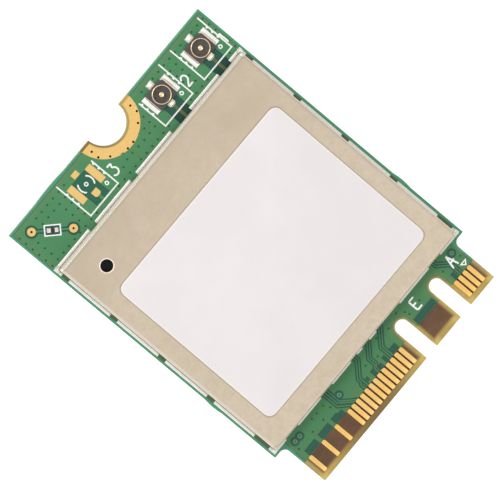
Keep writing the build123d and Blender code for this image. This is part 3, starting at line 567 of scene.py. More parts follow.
def shield_finish(c):
    """Rolled nickel-silver sheet: warm grey, faintly mottled, with fine rolling lines and a few scuffs. It
    carries
    painted light and shade: a lighter front and a darker end at the notch side that even out the key lamp, a
    dark line of painted shadow round the label, and painted highlights and painted shade on the folds and
    walls."""
    g = Finish("shield_sheet")
    cloud = g.noise(180, 5.0, 0.62, distort=0.4)
    rolled = g.streaks(500, 7000, 3000)
    warm = g.noise(520, 3.0, 0.6)
    grain = g.noise(2100, 3.0, 0.7)
    scuff = g.streaks(500, 2600, 500, 2.0, 0.5)
    # a dark line on the sheet round the label's edge: painted shadow
    label_edge_shadow = g.times(g.step(g.label_rim(), 0.12, 0.05), g.step(g.z, 2.10, 2.14, 0.0, 0.55))
    bend = g.step(g.z, 2.1495, 2.140)
    at_rear = g.step(g.y, 10.2, 10.3)
    # the rear wall, lighter towards its top: painted light from the key lamp
    lit_rear_wall = g.mix(g.step(g.z, 1.2, 1.9), shade(212, 206, 192), shade(238, 232, 218))
    tone = g.over(
        # lighter towards the front, and on the next line darker towards the notch end: painted shade that
        # evens out the key lamp along the sheet
        g.mix(g.step(g.y, -9.0, 4.0), shade(199, 185, 165), c.shield_metal),
        (g.step(g.y, 5.8, 8.2), shade(186, 171, 151)),
        (g.step(cloud, 0.32, 0.68, 0.0, 0.4), shade(200, 187, 170)),
        (g.step(warm, 0.35, 0.68, 0.0, 0.2), shade(192, 182, 156)),
        (g.step(warm, 0.5, 0.32, 0.0, 0.2), shade(194, 177, 166)),
        (g.step(grain, 0.36, 0.66, 0.0, 0.42), shade(178, 163, 143)),
        (g.step(rolled, 0.3, 0.75, 0.0, 0.10), shade(186, 171, 150)),
        (g.step(scuff, 0.66, 0.8, 0.0, 0.25), shade(212, 200, 184)),
        (label_edge_shadow, shade(150, 136, 118)),
        # darker across the top just inside the rear fold: painted shade that holds back the lamp's highlight
        # there
        (g.step(g.y, 10.06, 10.36, 0.0, 0.8), shade(162, 155, 142)),
        # lighter on the lower curve of the rear fold: painted highlight
        (g.times(g.step(g.z, 2.126, 2.106), at_rear), shade(208, 197, 179)),
        # lighter along the left fold: painted highlight
        (g.times(bend, g.step(g.x, -10.2, -10.3)), shade(214, 204, 188)),
        # darker along the front fold: painted shade
        (g.times(bend, g.step(g.y, -10.2, -10.3, 0.0, 0.6)), shade(176, 162, 144)),
        # walls lighter than the top, and the rear wall lighter still towards its top: painted light
        (g.step(g.z, 2.08, 2.03), g.mix(at_rear, shade(212, 204, 190), lit_rear_wall)))
    gloss = g.plus(g.step(cloud, 0.3, 0.7, 0.38, 0.46), g.step(grain, 0.3, 0.8, -0.03, 0.05))
    relief = g.bump(rolled, 0.0008, normal=g.bump(cloud, 0.003))
    return g.close(tone, gloss, relief, Metallic=g.step(g.z, 2.02, 2.07, 0.2, 1.0))


def foot_solder_finish():
    """Solder beside the shield's feet: a painted highlight along the toe, a duller middle, painted shade in
    the crease at the wall, and painted light on the sides that face away from the key lamp.
    """
    g = Finish("shield_solder")
    cloud = g.noise(1300, 4.0, 0.6)
    out = g.minus(g.most(g.off(g.x, 0.0), g.off(g.y, 0.0)), SHIELD_HALF)
    at_front = g.step(g.y, -10.5, -10.6)
    tone = g.over(
        g.two_tone(cloud, shade(238, 233, 228), shade(224, 218, 213)),
        # lighter on the +X side and the front, which face away from the key lamp: painted light
        (g.times(g.most(g.step(g.x, 10.5, 10.6), at_front), 0.8), shade(255, 253, 246)),
        (g.step(out, 0.14, 0.16, 0.0, 0.5), shade(206, 200, 196)),
        (g.times(at_front, g.step(out, 0.17, 0.11)), shade(250, 236, 214)),
        # a painted highlight along the toe
        (g.step(out, 0.17, 0.20), shade(252, 253, 246)),
        # painted shade in the crease where the solder meets the wall
        (g.step(out, 0.08, 0.02, 0.0, 0.9), shade(112, 102, 98)))
    relief = g.bump(g.noise(1800, 2.0), 0.0012)
    return g.close(tone, g.step(cloud, 0.3, 0.8, 0.42, 0.54), relief, Metallic=0.15)


def shield_pad_finish():
    """Tinned ground strip under the shield, with mask over its outer edge on the side of the key slots."""
    g = Finish("shield_pad_tin")
    cloud = g.noise(900, 4.0, 0.6)
    tone = g.over(g.two_tone(cloud, shade(244, 242, 235), shade(230, 227, 219)),
                  (g.step(g.x, 10.765, 10.785), shade(78, 138, 92)))
    relief = g.bump(g.noise(5000, 3.0, 0.6), 0.004)
    return g.close(tone, g.step(cloud, 0.3, 0.8, 0.36, 0.48), relief, Metallic=0.15)


def label_finish(c):
    """Coated paper: nearly white, a faint fibre in its tone and surface, and a painted highlight along its cut
    edge.
    """
    g = Finish("label_paper")
    fibre = g.streaks(2400, 6000, 3000, 4.0)
    tone = g.over(
        g.two_tone(g.noise(220, 3.0), c.label_paper, shade(239, 233, 233)),
        (g.step(fibre, 0.4, 0.8, 0.0, 0.07), shade(226, 219, 220)),
        # a painted highlight along the label's cut edge
        (g.step(g.label_rim(), -0.12, -0.07, 0.0, 0.8), shade(255, 249, 241)))
    return g.close(tone, g.step(fibre, 0.3, 0.8, 0.5, 0.62), g.bump(fibre, 0.002), Specular_IOR_Level=0.25)


# Settings

def colour_setting(name, description, *screen):
    """A colour, given here as it is read off a screen, 0 to 255."""
    return bpy.props.FloatVectorProperty(name=name, description=description, subtype="COLOR", size=3,
                                         min=0.0, max=1.0, default=shade(*screen))


def length_setting(name, description, value):
    """A length in metres, given here in millimetres."""
    return bpy.props.FloatProperty(name=name, description=description, default=value * MM, min=0.0,
                                   subtype="DISTANCE", unit="LENGTH", precision=6)


class CardSizes(bpy.types.PropertyGroup):
    contact_ease: length_setting("Contact edge", "Radius at the upper edge of each gold contact", 0.012)
    contact_end: length_setting("Contact end", "Corner radius at the ends of each gold contact", 0.13)
    ring_inner: length_setting("Ring bore", "Radius inside a receptacle's ring", 0.665)
    ring_outer: length_setting("Ring outside", "Radius outside a receptacle's ring", 0.745)
    ink_line: length_setting("Ink line", "Width of the white printed lines", 0.125)
    letter_line: length_setting("Letter line", "Width of the strokes of letters and figures", 0.15)
    label_ease: length_setting("Label edge", "Radius at the label's upper edge", 0.05)
    hole_mark: length_setting("Covered hole", "Radius of the dimple over a covered hole", 0.085)


class CardColours(bpy.types.PropertyGroup):
    mask_over_copper: colour_setting("Mask over copper", "Green where copper lies under the mask", 72, 136, 90)
    mask_over_board: colour_setting("Mask over board", "Dark green where no copper lies under it", 36, 86, 72)
    mask_edge_band: colour_setting("Mask at the edge", "Teal band round the board's edge", 80, 154, 116)
    feed_line: colour_setting("Feed lines", "Green over the lines that feed the receptacles", 92, 107, 66)
    board_edge: colour_setting("Board", "Bare glass-epoxy", 200, 172, 90)
    inner_copper: colour_setting("Inner copper", "Board with copper deep under it", 92, 64, 40)
    gold: colour_setting("Gold", "Plated pads and contacts", 230, 194, 126)
    shield_metal: colour_setting("Shield", "Rolled sheet of the shield", 192, 177, 157)
    label_paper: colour_setting("Label", "Blank label", 243, 237, 237)
    receptacle_base: colour_setting("Receptacle base", "Black moulded base", 90, 85, 86)
    receptacle_gold: colour_setting("Receptacle metal", "Ring and pin", 220, 197, 156)


class StageSettings(bpy.types.PropertyGroup):
    key_strength: bpy.props.FloatProperty(name="Key light", description="Power of the large lamp, in watts",
                                          default=0.95, min=0.0, subtype="POWER", unit="POWER")
    sky_strength: bpy.props.FloatProperty(name="Sky light", description="Strength of the even light",
                                          default=0.615, min=0.0, max=2.0, subtype="FACTOR")
    floor_colour: colour_setting("Floor", "Pale floor", 246, 246, 246)


# Operators

class WIRELESS_OT_board(bpy.types.Operator):
    """Finish the board, its green mask and its bare gold pads"""
    bl_idname = "wireless.board"
    bl_label = "Board"

    def execute(self, context):
        c = context.scene.card_colours
        dress(board_finish(c), "laminate")
        dress(mask_finish(c), "solder_mask_top", "solder_mask_bottom")
        gold = metal_finish("gold_plating", c.gold, shade(224, 184, 110), 0.34, 420, 0.003,
                            spots=shade(232, 194, 136), notch_rim=shade(180, 156, 106))
        dress(gold, "screw_pad", "test_pads", "spare_antenna_pads", "contacts_bottom")
        return {"FINISHED"}


class WIRELESS_OT_contacts(bpy.types.Operator):
    """Lay the gold contacts of the component side"""
    bl_idname = "wireless.contacts"
    bl_label = "Gold contacts"

    def execute(self, context):
        s = context.scene.card_sizes
        low, high = box_of("contacts_top")
        end = s.contact_end / MM
        corners = [end * 0.7, end * 0.7, end, end]
        finger = slab(CONTACT_HALF_WIDTH, (high.y - low.y) / 2, corners, low.z, high.z, s.contact_ease / MM)
        x = FIRST_CONTACT - CONTACT_STEP * (np.array(TOP_CONTACTS) - 1)
        places = np.column_stack([x, np.full(len(x), (high.y + low.y) / 2), np.zeros(len(x))])
        gold = metal_finish("contact_gold", shade(233, 193, 122), shade(227, 183, 104), 0.34, 600, 0.0012,
                            spots=shade(236, 188, 122))
        put("edge_contacts", repeated(finger, places), gold, ["contacts_top"])
        return {"FINISHED"}


class WIRELESS_OT_shield(bpy.types.Operator):
    """Finish the folded shield and draw solder up against its feet"""
    bl_idname = "wireless.shield"
    bl_label = "Shield and its solder"

    def execute(self, context):
        c = context.scene.card_colours
        dress(shield_finish(c), "shield_can")
        tin = metal_finish("tinned_copper", shade(232, 229, 222), shade(214, 210, 200), 0.30, 900, 0.004)
        dress(shield_pad_finish(), "shield_pads")
        dress(tin, "receptacle_pads", "test_resistor_pads", "test_resistor_ends", "radio_lands",
              "diplexer_ends", "inductor_ends", "capacitor_ends", "resistor_ends")
        put("shield_solder_runs", shield_solder(), foot_solder_finish(), ["shield_solder"])
        put("shield_corner_fills", corner_fills(), shield_finish(c))
        # a lighter ring of metal round the vent's rim: painted highlight
        vent_highlight = metal_finish("vent_edge_highlight", shade(238, 228, 212), shade(226, 216, 198), 0.45, 1200,
                              0.001)
        edge = ring_mark(0.535, 0.045, SHIELD_TOP - 0.04, SHIELD_TOP + 0.007)
        put("vent_edge", placed(edge, *VENT), vent_highlight)
        return {"FINISHED"}


def shield_solder():
    """Runs of solder along every foot, each side with its own reach and height, and a lump at each corner."""
    parts = []
    ends = SHIELD_HALF + 0.27
    for gaps, turn, reach, height in ((REAR_GAPS, 0, 0.25, 0.036), (FRONT_GAPS, 180, 0.20, 0.016),
                                      (SIDE_GAPS, -90, 0.19, 0.026), (SIDE_GAPS, 90, 0.24, 0.036)):
        edges = np.array([-ends, *(v for m, w in gaps for v in (m - w / 2, m + w / 2)), ends])
        if turn in (180, -90):
            edges = -edges[::-1]
        for n, (start, end) in enumerate(zip(edges[0::2], edges[1::2])):
            parts.append(placed(solder_run(start, end, reach, height, turn + 3.1 * n), turn=turn))
    parts += [placed(corner_solder(turn), turn=turn) for turn in (0, 90, 180, 270)]
    return gathered(parts)


def solder_run(start, end, reach, height, seed):
    """Solder along one foot, beside the wall at y = the shield's half width. Its section goes from the toe,
    t = 0, to the wall, t = 1, as a thin bead of that height, 1-(1-t)^3, that is flat where it meets the wall.
    Carried from start to end, slow waves move its toe and height, and its height shrinks along a quarter
    circle at its ends."""
    count = max(8, int((end - start) / 0.08))
    x = np.linspace(start, end, count)
    near_end = np.clip(np.minimum(x - start, end - x) / 0.12, 0, 1)
    close_in = 0.35 + 0.65 * np.sqrt(np.clip(1 - (1 - near_end) ** 2, 0, 1))
    wave = 0.5 * np.sin(x * 4.1 + seed) + 0.3 * np.sin(x * 9.7 + 2 * seed) + 0.2 * np.sin(x * 19.0 + 3 * seed)
    toe = reach + 0.014 * wave
    t = np.array([0, 0.04, 0.12, 0.25, 0.4, 0.55, 0.68, 0.8, 0.9, 0.96, 1.0])
    rise = (height + 0.004 * wave[:, None]) * (1 - (1 - t) ** 3)
    y = np.concatenate([np.zeros((count, 1)), toe[:, None] * (1 - t)], 1)
    z = np.concatenate([np.zeros((count, 1)), rise * close_in[:, None]], 1)
    return skin(np.stack([np.repeat(x[:, None], len(t) + 1, 1), SHIELD_HALF + y, PAD_TOP + z], -1))


def corner_solder(seed):
    """Solder over the slit at a corner of the shield: rings of a rounded square shrink by the share s and
    climb by 1-s^4, so the lump is steep at its rim and flat above, and it leans in towards the corner."""
    s = np.array([1.0, 0.98, 0.93, 0.85, 0.72, 0.55, 0.3])
    rings = []
    for v in s:
        outline = oblong(0.235 * v, 0.235 * v, 0.09 * v) + (SHIELD_HALF + 0.02 - 0.05 * (1 - v))
        if v < 1:
            outline += 0.008 * np.sin(outline[:, ::-1] * [31, 27] + seed)
        rings.append(outline)
    return skin(stacked(rings, PAD_TOP + 0.30 * (1 - s ** 4)))


def corner_fills():
    """Metal in the open corners of the shield's folds: four square columns that round off to a low tip."""
    widths = (1, 1, 0.97, 0.88, 0.70, 0.35)
    heights = [0.79, 1.90, 1.96, 2.00, 2.025, 2.035]
    column = skin(stacked([oblong(0.148 * v, 0.148 * v, 0.07 * v) for v in widths], heights))
    return repeated(column, [(sx * 10.402, sy * 10.402, 0.0) for sx in (-1, 1) for sy in (-1, 1)])


class WIRELESS_OT_label(bpy.types.Operator):
    """Stick the blank label on the shield"""
    bl_idname = "wireless.label"
    bl_label = "Label"

    def execute(self, context):
        s, c = context.scene.card_sizes, context.scene.card_colours
        low, high = box_of("label")
        sheet = slab(*LABEL_HALF, LABEL_EASED_FROM, low.z, high.z, s.label_ease / MM, steps=16)
        sheet = placed(sheet, (low.x + high.x) / 2, (low.y + high.y) / 2, turn=LABEL_TURN)
        put("blank_label", sheet, label_finish(c), ["label"])
        return {"FINISHED"}


class WIRELESS_OT_receptacles(bpy.types.Operator):
    """Build both antenna receptacles: base, ring, pin, tabs and the solder on them"""
    bl_idname = "wireless.receptacles"
    bl_label = "Antenna receptacles"

    def execute(self, context):
        s, c = context.scene.card_sizes, context.scene.card_colours
        inner, outer = s.ring_inner / MM, s.ring_outer / MM
        metal = metal_finish("receptacle_metal", c.receptacle_gold, shade(228, 208, 172), 0.26, 1500, 0.002)
        black = plain_finish("receptacle_plastic", c.receptacle_base, shade(80, 76, 76), 0.46, 3500, 0.006)
        solder = metal_finish("tab_solder", shade(252, 248, 244), shade(240, 233, 226), 0.25, 1800, 0.008,
                              2600.0)
        tinned = metal_finish("tinned_tab", shade(226, 217, 203), shade(206, 195, 178), 0.30, 1500, 0.003)
        wings = gathered([tab(0.30, 0.77, -0.93, 0), tab(0.30, 0.77, 0.93, 0), tab(0.22, 0.24, 0, 0.95)])
        puddles = []
        for number, x in enumerate(RECEPTACLES, start=1):
            for piece, part, finish, slot_name, replaced in (
                    ("ring", ring_part(inner, outer), metal, "receptacle_gold", ["shell"]),
                    ("tabs", wings, tinned, "receptacle_gold", []),
                    ("contact_pin", pin_part(), metal, "receptacle_gold", ["pin"]),
                    ("base", base_part(inner, outer), black, "receptacle_plastic", ["housing"])):
                put(f"receptacle_{number}_{piece}", placed(part, x, SITE_ROW), finish,
                    [f"receptacle_{number}_{node}" for node in replaced])
            puddles += tab_puddles(x, number)
        put("receptacle_solder_puddles", gathered(puddles), solder, ["receptacle_solder"])
        return {"FINISHED"}


def ring_part(inner, outer):
    """Turned ring of a receptacle: up the bore, over a rounded rim, and down outside past the snap groove."""
    half_wall = (outer - inner) / 2
    turn = np.linspace(math.pi, 0, 9)
    groove_r = outer - 0.028 * np.sin(np.linspace(0, math.pi, 7))
    r = np.concatenate([[inner], (inner + outer) / 2 + half_wall * np.cos(turn), groove_r, [outer, outer]])
    rim_z = RING_TOP - half_wall + half_wall * np.sin(turn)
    z = np.concatenate([[TAB_TOP], rim_z, np.linspace(1.20, 1.06, 7), [TAB_TOP + 0.03, TAB_TOP]])
    return skin(circles(r[::-1], z[::-1], 64), loop=True)


def tab(half_x, half_y, x, y):
    """Flat tab of a receptacle, with an eased upper edge."""
    return placed(slab(half_x, half_y, 0.05, TAB_LOW, TAB_TOP, 0.02), x, y)


def pin_part():
    """Pin: a turned stub with a rounded rim and a dimple in its tip, and the flat tab that leads out under
    the ring to its pad."""
    turn = np.linspace(0, math.pi / 2, 9)
    r = np.concatenate([[0.20, 0.20], 0.14 + 0.06 * np.cos(turn), [0.11, 0.08, 0.05, 0.02]])
    z = np.concatenate([[0.82, 1.10], 1.27 + 0.05 * np.sin(turn), [1.314, 1.292, 1.28, 1.276]])
    neck = placed(slab(0.145, 0.36, 0.02, TAB_LOW, TAB_TOP - 0.005, 0.01), 0, -0.34)
    return gathered([turned(r, z, 32), tab(0.24, 0.20, 0, -0.85), neck])


def base_part(inner, outer):
    """Moulded base: its outline, one corner cut, rises to an eased edge, and then blends along rays from the
    middle into the circle of the bore, down its wall and in over the floor to the pin."""
    hx, hy = 0.91, 0.85
    corners = [(-hx, -hy), (hx, -hy), (hx, hy - 0.22), (hx - 0.22, hy), (-hx, hy)]
    outline = eased_outline(corners, [0.05, 0.05, 0.06, 0.06, 0.05], 14)
    # extra points along the long sides
    closed = np.concatenate([outline, outline[:1]])
    along = distance_along(closed)
    s = np.unique(np.concatenate([along[:-1], np.linspace(0, along[-1], 72, endpoint=False)]))
    outline = np.column_stack([np.interp(s, along, closed[:, 0]), np.interp(s, along, closed[:, 1])])
    angle = np.arctan2(outline[:, 1], outline[:, 0])
    ray = np.column_stack([np.cos(angle), np.sin(angle)])
    sides = [(1.0, MASK_TOP), (1.0, BASE_TOP - 0.02), (0.993, BASE_TOP - 0.006), (1 - 0.02 / 0.9, BASE_TOP)]
    bore = [(outer - 0.02, BASE_TOP), (inner + 0.02, BASE_TOP), (inner + 0.01, BASE_TOP - 0.015),
            (inner, 0.955), (inner - 0.01, 0.95), (0.30, 0.95), (0.22, 0.945), (0.18, 0.94)]
    rings = [outline * share for share, _ in sides] + [ray * radius for radius, _ in bore]
    return skin(stacked(rings, [z for _, z in sides + bore]))


def tab_puddles(x, seed):
    """Solder on one receptacle's tabs: a long puddle at either side and a short one at either end."""
    parts = []
    for dx, dy, hx, hy, corner, edge, high, turn, phase in (
            (-1.13, 0.0, 0.21, 0.79, 0.05, 0.86, 0.943, 0, seed),
            (1.165, 0.0, 0.175, 0.79, 0.05, 0.86, 0.943, 0, seed + 1),
            (0.0, 1.085, 0.19, 0.24, 0.06, 0.84, 0.92, 90, 4.0),
            (0.0, -1.055, 0.165, 0.23, 0.08, 0.84, 0.92, 90, 5.0)):
        puddle = pillow(hx, hy, corner, MASK_TOP, edge, high, 0.012, phase)
        parts.append(placed(puddle, x + dx, SITE_ROW + dy, turn=turn))
    return parts


class WIRELESS_OT_print(bpy.types.Operator):
    """Print the white frames, marks, letters and figures"""
    bl_idname = "wireless.print"
    bl_label = "White print"

    def execute(self, context):
        s = context.scene.card_sizes
        line, letter = s.ink_line / MM, s.letter_line / MM
        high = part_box("silkscreen")[1].z / MM
        layer = (INK_LOW, high)
        parts = []
        for x, left_top, right_top in ((8.87, 1.6, 1.6), (4.35, 0.85, 1.6), (-4.35, 1.6, 0.85)):
            parts += site_print(x, left_top, right_top, line, high)
        parts.append(placed(ring_mark(0.13, 0.05, *layer), *SPARE_SITE))
        for middle in (0, 180):
            parts.append(stroke(arc(*SPARE_SITE, 0.63, 0.63, middle - 47, middle + 47, 24), line, *layer))
        around_resistor = printed_frame(corners_of(0.65, 0.44), corners_of(0.545, 0.335), *layer)
        parts.append(placed(around_resistor, -8.585, 12.785, turn=-45))
        triangle = printed_frame([(-0.36, 0.0), (0.0, -0.40), (0.36, 0.0)],
                                 [(-0.15, -0.09), (0.0, -0.25), (0.15, -0.09)], *layer)
        parts.append(placed(triangle, 9.26, -12.42))
        # each stroke a hair lower than the last, so that no two tops lie at one height where they cross
        parts += [stroke(p, letter, INK_LOW, high - 0.0015 * (n % 4)) for n, p in enumerate(glyph_paths())]
        ink = plain_finish("white_ink", (1.0, 1.0, 1.0), shade(252, 253, 252), 0.5, 3000, 0.004)
        put("white_print", gathered(parts), ink, ["silkscreen"])
        return {"FINISHED"}


def site_print(x, left_top, right_top, line, high):
    """Print round one receptacle site: a frame that is open at its top, whose sides reach up to places of
    their own, three dots inside either side, and a small ring and dot at its corner."""
    low = INK_LOW
    x0, x1, y0 = x - 1.58, x + 1.58, SITE_ROW - 1.78
    left, right = (x0, SITE_ROW + left_top), (x1, SITE_ROW + right_top)
    sides = [[left, (x0, y0)], [(x0, y0), (x1, y0)], [(x1, y0), right]]
    parts = [stroke(side, line, low, high) for side in sides]
    dot = turned([0.11, 0.108, 0.095, 0.05], [low, high - 0.008, high - 0.002, high], 16)
    parts += [placed(dot, px, SITE_ROW + dy) for px in (x0 + 0.055, x1 - 0.055) for dy in (0.58, 0.05, -0.49)]
    parts += [placed(slab(line / 2, line / 2, 0.02, low, high, 0.008), px, y0) for px in (x0, x1)]
    parts.append(placed(ring_mark(0.125, 0.055, low, high), x + 1.06, SITE_ROW - 1.13))
    small = turned([0.065, 0.06, 0.04], [low, high - 0.004, high - 0.001], 12)
    parts.append(placed(small, x + 1.03, SITE_ROW - 0.985))
    return parts


def printed_frame(outer, inner, low, high):
    """Printed frame between two like polygons: up its outer side, flat across, and down its inner side."""
    out, into = eased_outline(outer, 0.03, 5), eased_outline(inner, 0.02, 5)
    drop = high - np.array([0.01, 0.003, 0.0])
    outlines = [out * (1 - s) + into * s for s in (0.0, 0.0, 0.03, 0.1, 0.9, 0.97, 1.0, 1.0)]
    return skin(stacked(outlines, [low, *drop, *drop[::-1], low]), loop=True)


def ring_mark(radius, half, low, high):
    """Printed ring: a half ellipse of the line's width carried round a circle."""
    turn = np.linspace(0, 2 * math.pi, 10, endpoint=False)
    r = radius + half * np.cos(turn)
    arch = np.sqrt(np.maximum(np.sin(turn), 0))
    z = np.where(np.sin(turn) > 0, low + (high - low) * (0.5 + 0.5 * arch), low)
    return turned(r, z, 24, loop=True)


def arc(cx, cy, rx, ry, start, end, count):
    """Points of an ellipse's arc between two angles in degrees."""
    a = np.radians(np.linspace(start, end, count))
    return np.column_stack([cx + rx * np.cos(a), cy + ry * np.sin(a)])


def glyph_paths():
    """Strokes of the printed letters and figures, each a path: bowls are arcs, and stems are straight."""
    one = [[(10.44, 12.45), (10.60, 12.64)], [(10.60, 12.64), (10.60, 11.68)]]
    two = [np.concatenate([arc(6.335, 12.44, 0.25, 0.30, 170, -35, 16), [(6.13, 11.83)]]),
           [(6.10, 11.80), (6.60, 11.83)]]
    three = [[(-2.44, 12.66), (-2.02, 12.66)], [(-2.02, 12.66), (-2.20, 12.36)],
             arc(-2.25, 12.04, 0.30, 0.32, 80, -155, 18)]
    letter_e = [[(4.86, -11.24), (4.34, -11.24)], [(4.34, -11.24), (4.34, -12.14)],
                [(4.34, -12.14), (4.86, -12.14)], [(4.34, -11.67), (4.70, -11.67)]]
    letter_a = [[(8.46, -12.24), (8.73, -11.18)], [(8.73, -11.18), (8.98, -12.27)],
                [(8.57, -11.80), (9.03, -11.75)]]
    return [*one, *two, *three, *letter_e, *letter_a]


class WIRELESS_OT_holes(bpy.types.Operator):
    """Mark the plated holes that the green mask covers"""
    bl_idname = "wireless.holes"
    bl_label = "Covered holes"

    def execute(self, context):
        # dark plugs part way down the screw pad's holes: painted shade for the depth of the holes
        plug = turned([0.094, 0.094, 0.07, 0.03], [0.06, 0.42, 0.40, 0.385], 12)
        holes = [(side * x, FAR_END + y, 0.0) for side in (-1, 1)
                 for x, y in ((2.24, -0.72), (2.24, -1.36), (1.62, -2.0), (0.32, -2.63))]
        hole_shade = plain_finish("hole_depth_shade", shade(22, 18, 14), shade(34, 28, 22), 0.6, 4000, 0.003, 0.2)
        put("screw_pad_hole_plugs", repeated(plug, holes), hole_shade)
        spills = [placed(pillow(hx, hy, 0.95 * hx, 0.77, 0.777, 0.79), x, y, turn=turn)
                  for x, y, hx, hy, turn in ((1.03, 12.44, 0.04, 0.07, 20), (-0.84, 12.42, 0.06, 0.10, 70),
                                             (-0.98, 12.50, 0.03, 0.05, 30))]
        spilt = plain_finish("spilt_mask", shade(58, 122, 84), shade(72, 136, 92), 0.4, 3000, 0.003)
        put("mask_spills", gathered(spills), spilt)
        # the second lies a hair higher, where it runs over the first
        ringed = [(-9.10, -11.37, 0), (-8.57, -11.37, 0.0008), (-4.32, -11.68, 0), (9.23, -11.37, 0)]
        moat = mark([0.37, 0.36, 0.19, 0.18], [-0.004, 0.001, 0.001, -0.004], 28, loop=True)
        middle = mark([0.15, 0.14, 0.06, 0.05], [-0.004, 0.001, 0.001, -0.006], 16, loop=True)
        pip = mark([0.08, 0.072, 0.05, 0.02], [-0.004, 0.0018, 0.0018, 0.0016], 12)
        r = context.scene.card_sizes.hole_mark / MM
        dot = mark([r * 1.1, r, r * 0.7, r * 0.3], [-0.004, 0.002, 0.0012, 0.0004], 12)
        covered = gathered([repeated(dot, covered_places()), repeated(pip, ringed)])
        for name, part, finish, tone, second in (
                ("hole_clearances", repeated(moat, ringed), "clearance_green", (36, 84, 68), (44, 92, 76)),
                ("hole_middles", repeated(middle, ringed), "hole_middle_green", (116, 150, 122),
                 (104, 140, 110)),
                ("covered_holes", covered, "covered_hole_green", (18, 84, 38), (28, 94, 46))):
            green = plain_finish(finish, shade(*tone), shade(*second), 0.4, 4000, 0.003)
            put(name, part, green)
        return {"FINISHED"}


def mark(radii, heights, steps, loop=False):
    """Small turned mark whose heights count from the mask's top."""
    return turned(radii, MASK_TOP + np.array(heights), steps, loop)


def covered_places():
    """Places of the covered holes: an even grid along the notch end, without those that would lie under pads,
    print, lines or the notch, one row beside the notch's pad, and single ones on the tongue."""
    column, row = np.meshgrid(-10.63 + 0.645 * np.arange(34), 14.28 - 0.64 * np.arange(6))
    grid = np.column_stack([column.ravel(), row.ravel()])
    keep = np.abs(grid[:, 0]) < 10.75
    keep &= np.hypot(grid[:, 0], grid[:, 1] - FAR_END) >= 3.0
    for x0, x1, y0, y1 in ((-10.3, -9.0, 13.2, 14.6), (-9.4, -6.9, 11.3, 13.4), (-6.1, -2.6, 11.4, 14.0),
                           (-3.0, 3.0, 12.2, 15), (2.7, 6.0, 11.3, 14.0), (7.2, 10.6, 11.3, 14.0),
                           (3.5, 5.2, 10, 12.4), (8.0, 9.7, 10, 12.4), (-5.2, -3.5, 11, 14.4),
                           (-1.3, 2.6, 11.5, 12.0)):
        keep &= ~((grid[:, 0] > x0) & (grid[:, 0] < x1) & (grid[:, 1] > y0) & (grid[:, 1] < y1))
    by_notch = [(2.23, 12.99), (2.21, 12.38), (2.23, 11.87), (1.60, 12.37), (1.59, 11.85), (0.95, 11.83),
                (0.30, 11.85), (-0.35, 11.90), (-0.97, 11.88)]
    tongue = [(-7.0, -11.25), (-6.45, -11.27), (-5.7, -11.27), (-5.45, -11.75), (-9.35, -11.95),
              (-7.7, -11.92), (-6.5, -11.95), (-1.37, -11.8), (-0.25, -12.05), (0.72, -11.1), (1.87, -11.35),
              (3.1, -11.05), (3.6, -11.5), (3.7, -11.85), (4.98, -11.78), (7.75, -11.75), (9.5, -12.0)]
    spots = np.concatenate([grid[keep], by_notch, tongue])
    return np.column_stack([spots, np.zeros(len(spots))])


class WIRELESS_OT_inside(bpy.types.Operator):
    """Finish the parts under the shield and the test resistor"""
    bl_idname = "wireless.inside"
    bl_label = "Parts under the shield"

    def execute(self, context):
        for name, tone, second, rough, scale, relief, nodes in (
                ("chip_plastic", (44, 44, 46), (54, 54, 57), 0.5, 2600, 0.006,
                 ["radio_chip", "front_end_modules", "memory_chip"]),
                ("heat_pad_rubber", (142, 148, 158), (128, 134, 146), 0.7, 1800, 0.012, ["heat_pad"]),
                ("ceramic_tan", (176, 146, 112), (160, 130, 98), 0.5, 3600, 0.005,
                 ["diplexer_bodies", "capacitor_bodies"]),
                ("ceramic_dark", (38, 36, 38), (48, 46, 48), 0.42, 3600, 0.005,
                 ["test_resistor_body", "crystal_base", "resistor_bodies"]),
                ("ferrite", (70, 68, 68), (56, 54, 55), 0.62, 2400, 0.012, ["inductor_bodies"])):
            dress(plain_finish(name, shade(*tone), shade(*second), rough, scale, relief), *nodes)
        dress(metal_finish("lid_metal", shade(214, 206, 190), shade(200, 192, 176), 0.3, 900), "crystal_lid")
        return {"FINISHED"}


class WIRELESS_OT_stage(bpy.types.Operator):
    """Set the pale floor, the soft light and the camera"""
    bl_idname = "wireless.stage"
    bl_label = "Stage"

    def execute(self, context):
        st = context.scene.stage_settings
        context.scene.view_settings.view_transform = "Standard"
        floor(st)
        sky(st)
        lamp("key_light", (-0.11, 0.27, 0.43), st.key_strength, 0.22)
        lamp("fill_light", (0.06, -0.30, 0.40), st.key_strength * 0.30, 0.30)
        camera()
        return {"FINISHED"}


def floor(st):
    """Level square of 8 by 8 faces, with its sides in metres, just under the card."""
    line = np.linspace(-FLOOR_HALF, FLOOR_HALF, 9)
    x, y = np.meshgrid(line, line)
    points = np.column_stack([x.ravel(), y.ravel(), np.full(x.size, FLOOR_HEIGHT * MM)])
    k = (np.arange(8)[:, None] * 9 + np.arange(8)[None]).ravel()
    mesh = bpy.data.meshes.new("floor")
    mesh.from_pydata(points.tolist(), [], np.column_stack([k, k + 1, k + 10, k + 9]).tolist())
    mesh.materials.append(floor_finish(st))
    ob = bpy.data.objects.new("floor", mesh)
    bpy.context.scene.collection.objects.link(ob)


def floor_finish(st):
    """Pale floor that shows white to the camera and in metal, and still takes the shadow."""
    g = Finish("pale_floor")
    tone = g.two_tone(g.noise(14, 2.0), st.floor_colour, shade(243, 243, 244))
    return g.close(tone, 0.8, Emission_Color=(1.0, 1.0, 1.0), Emission_Strength=g.times(g.white_ray(), 0.62),
                   Specular_IOR_Level=0.0)


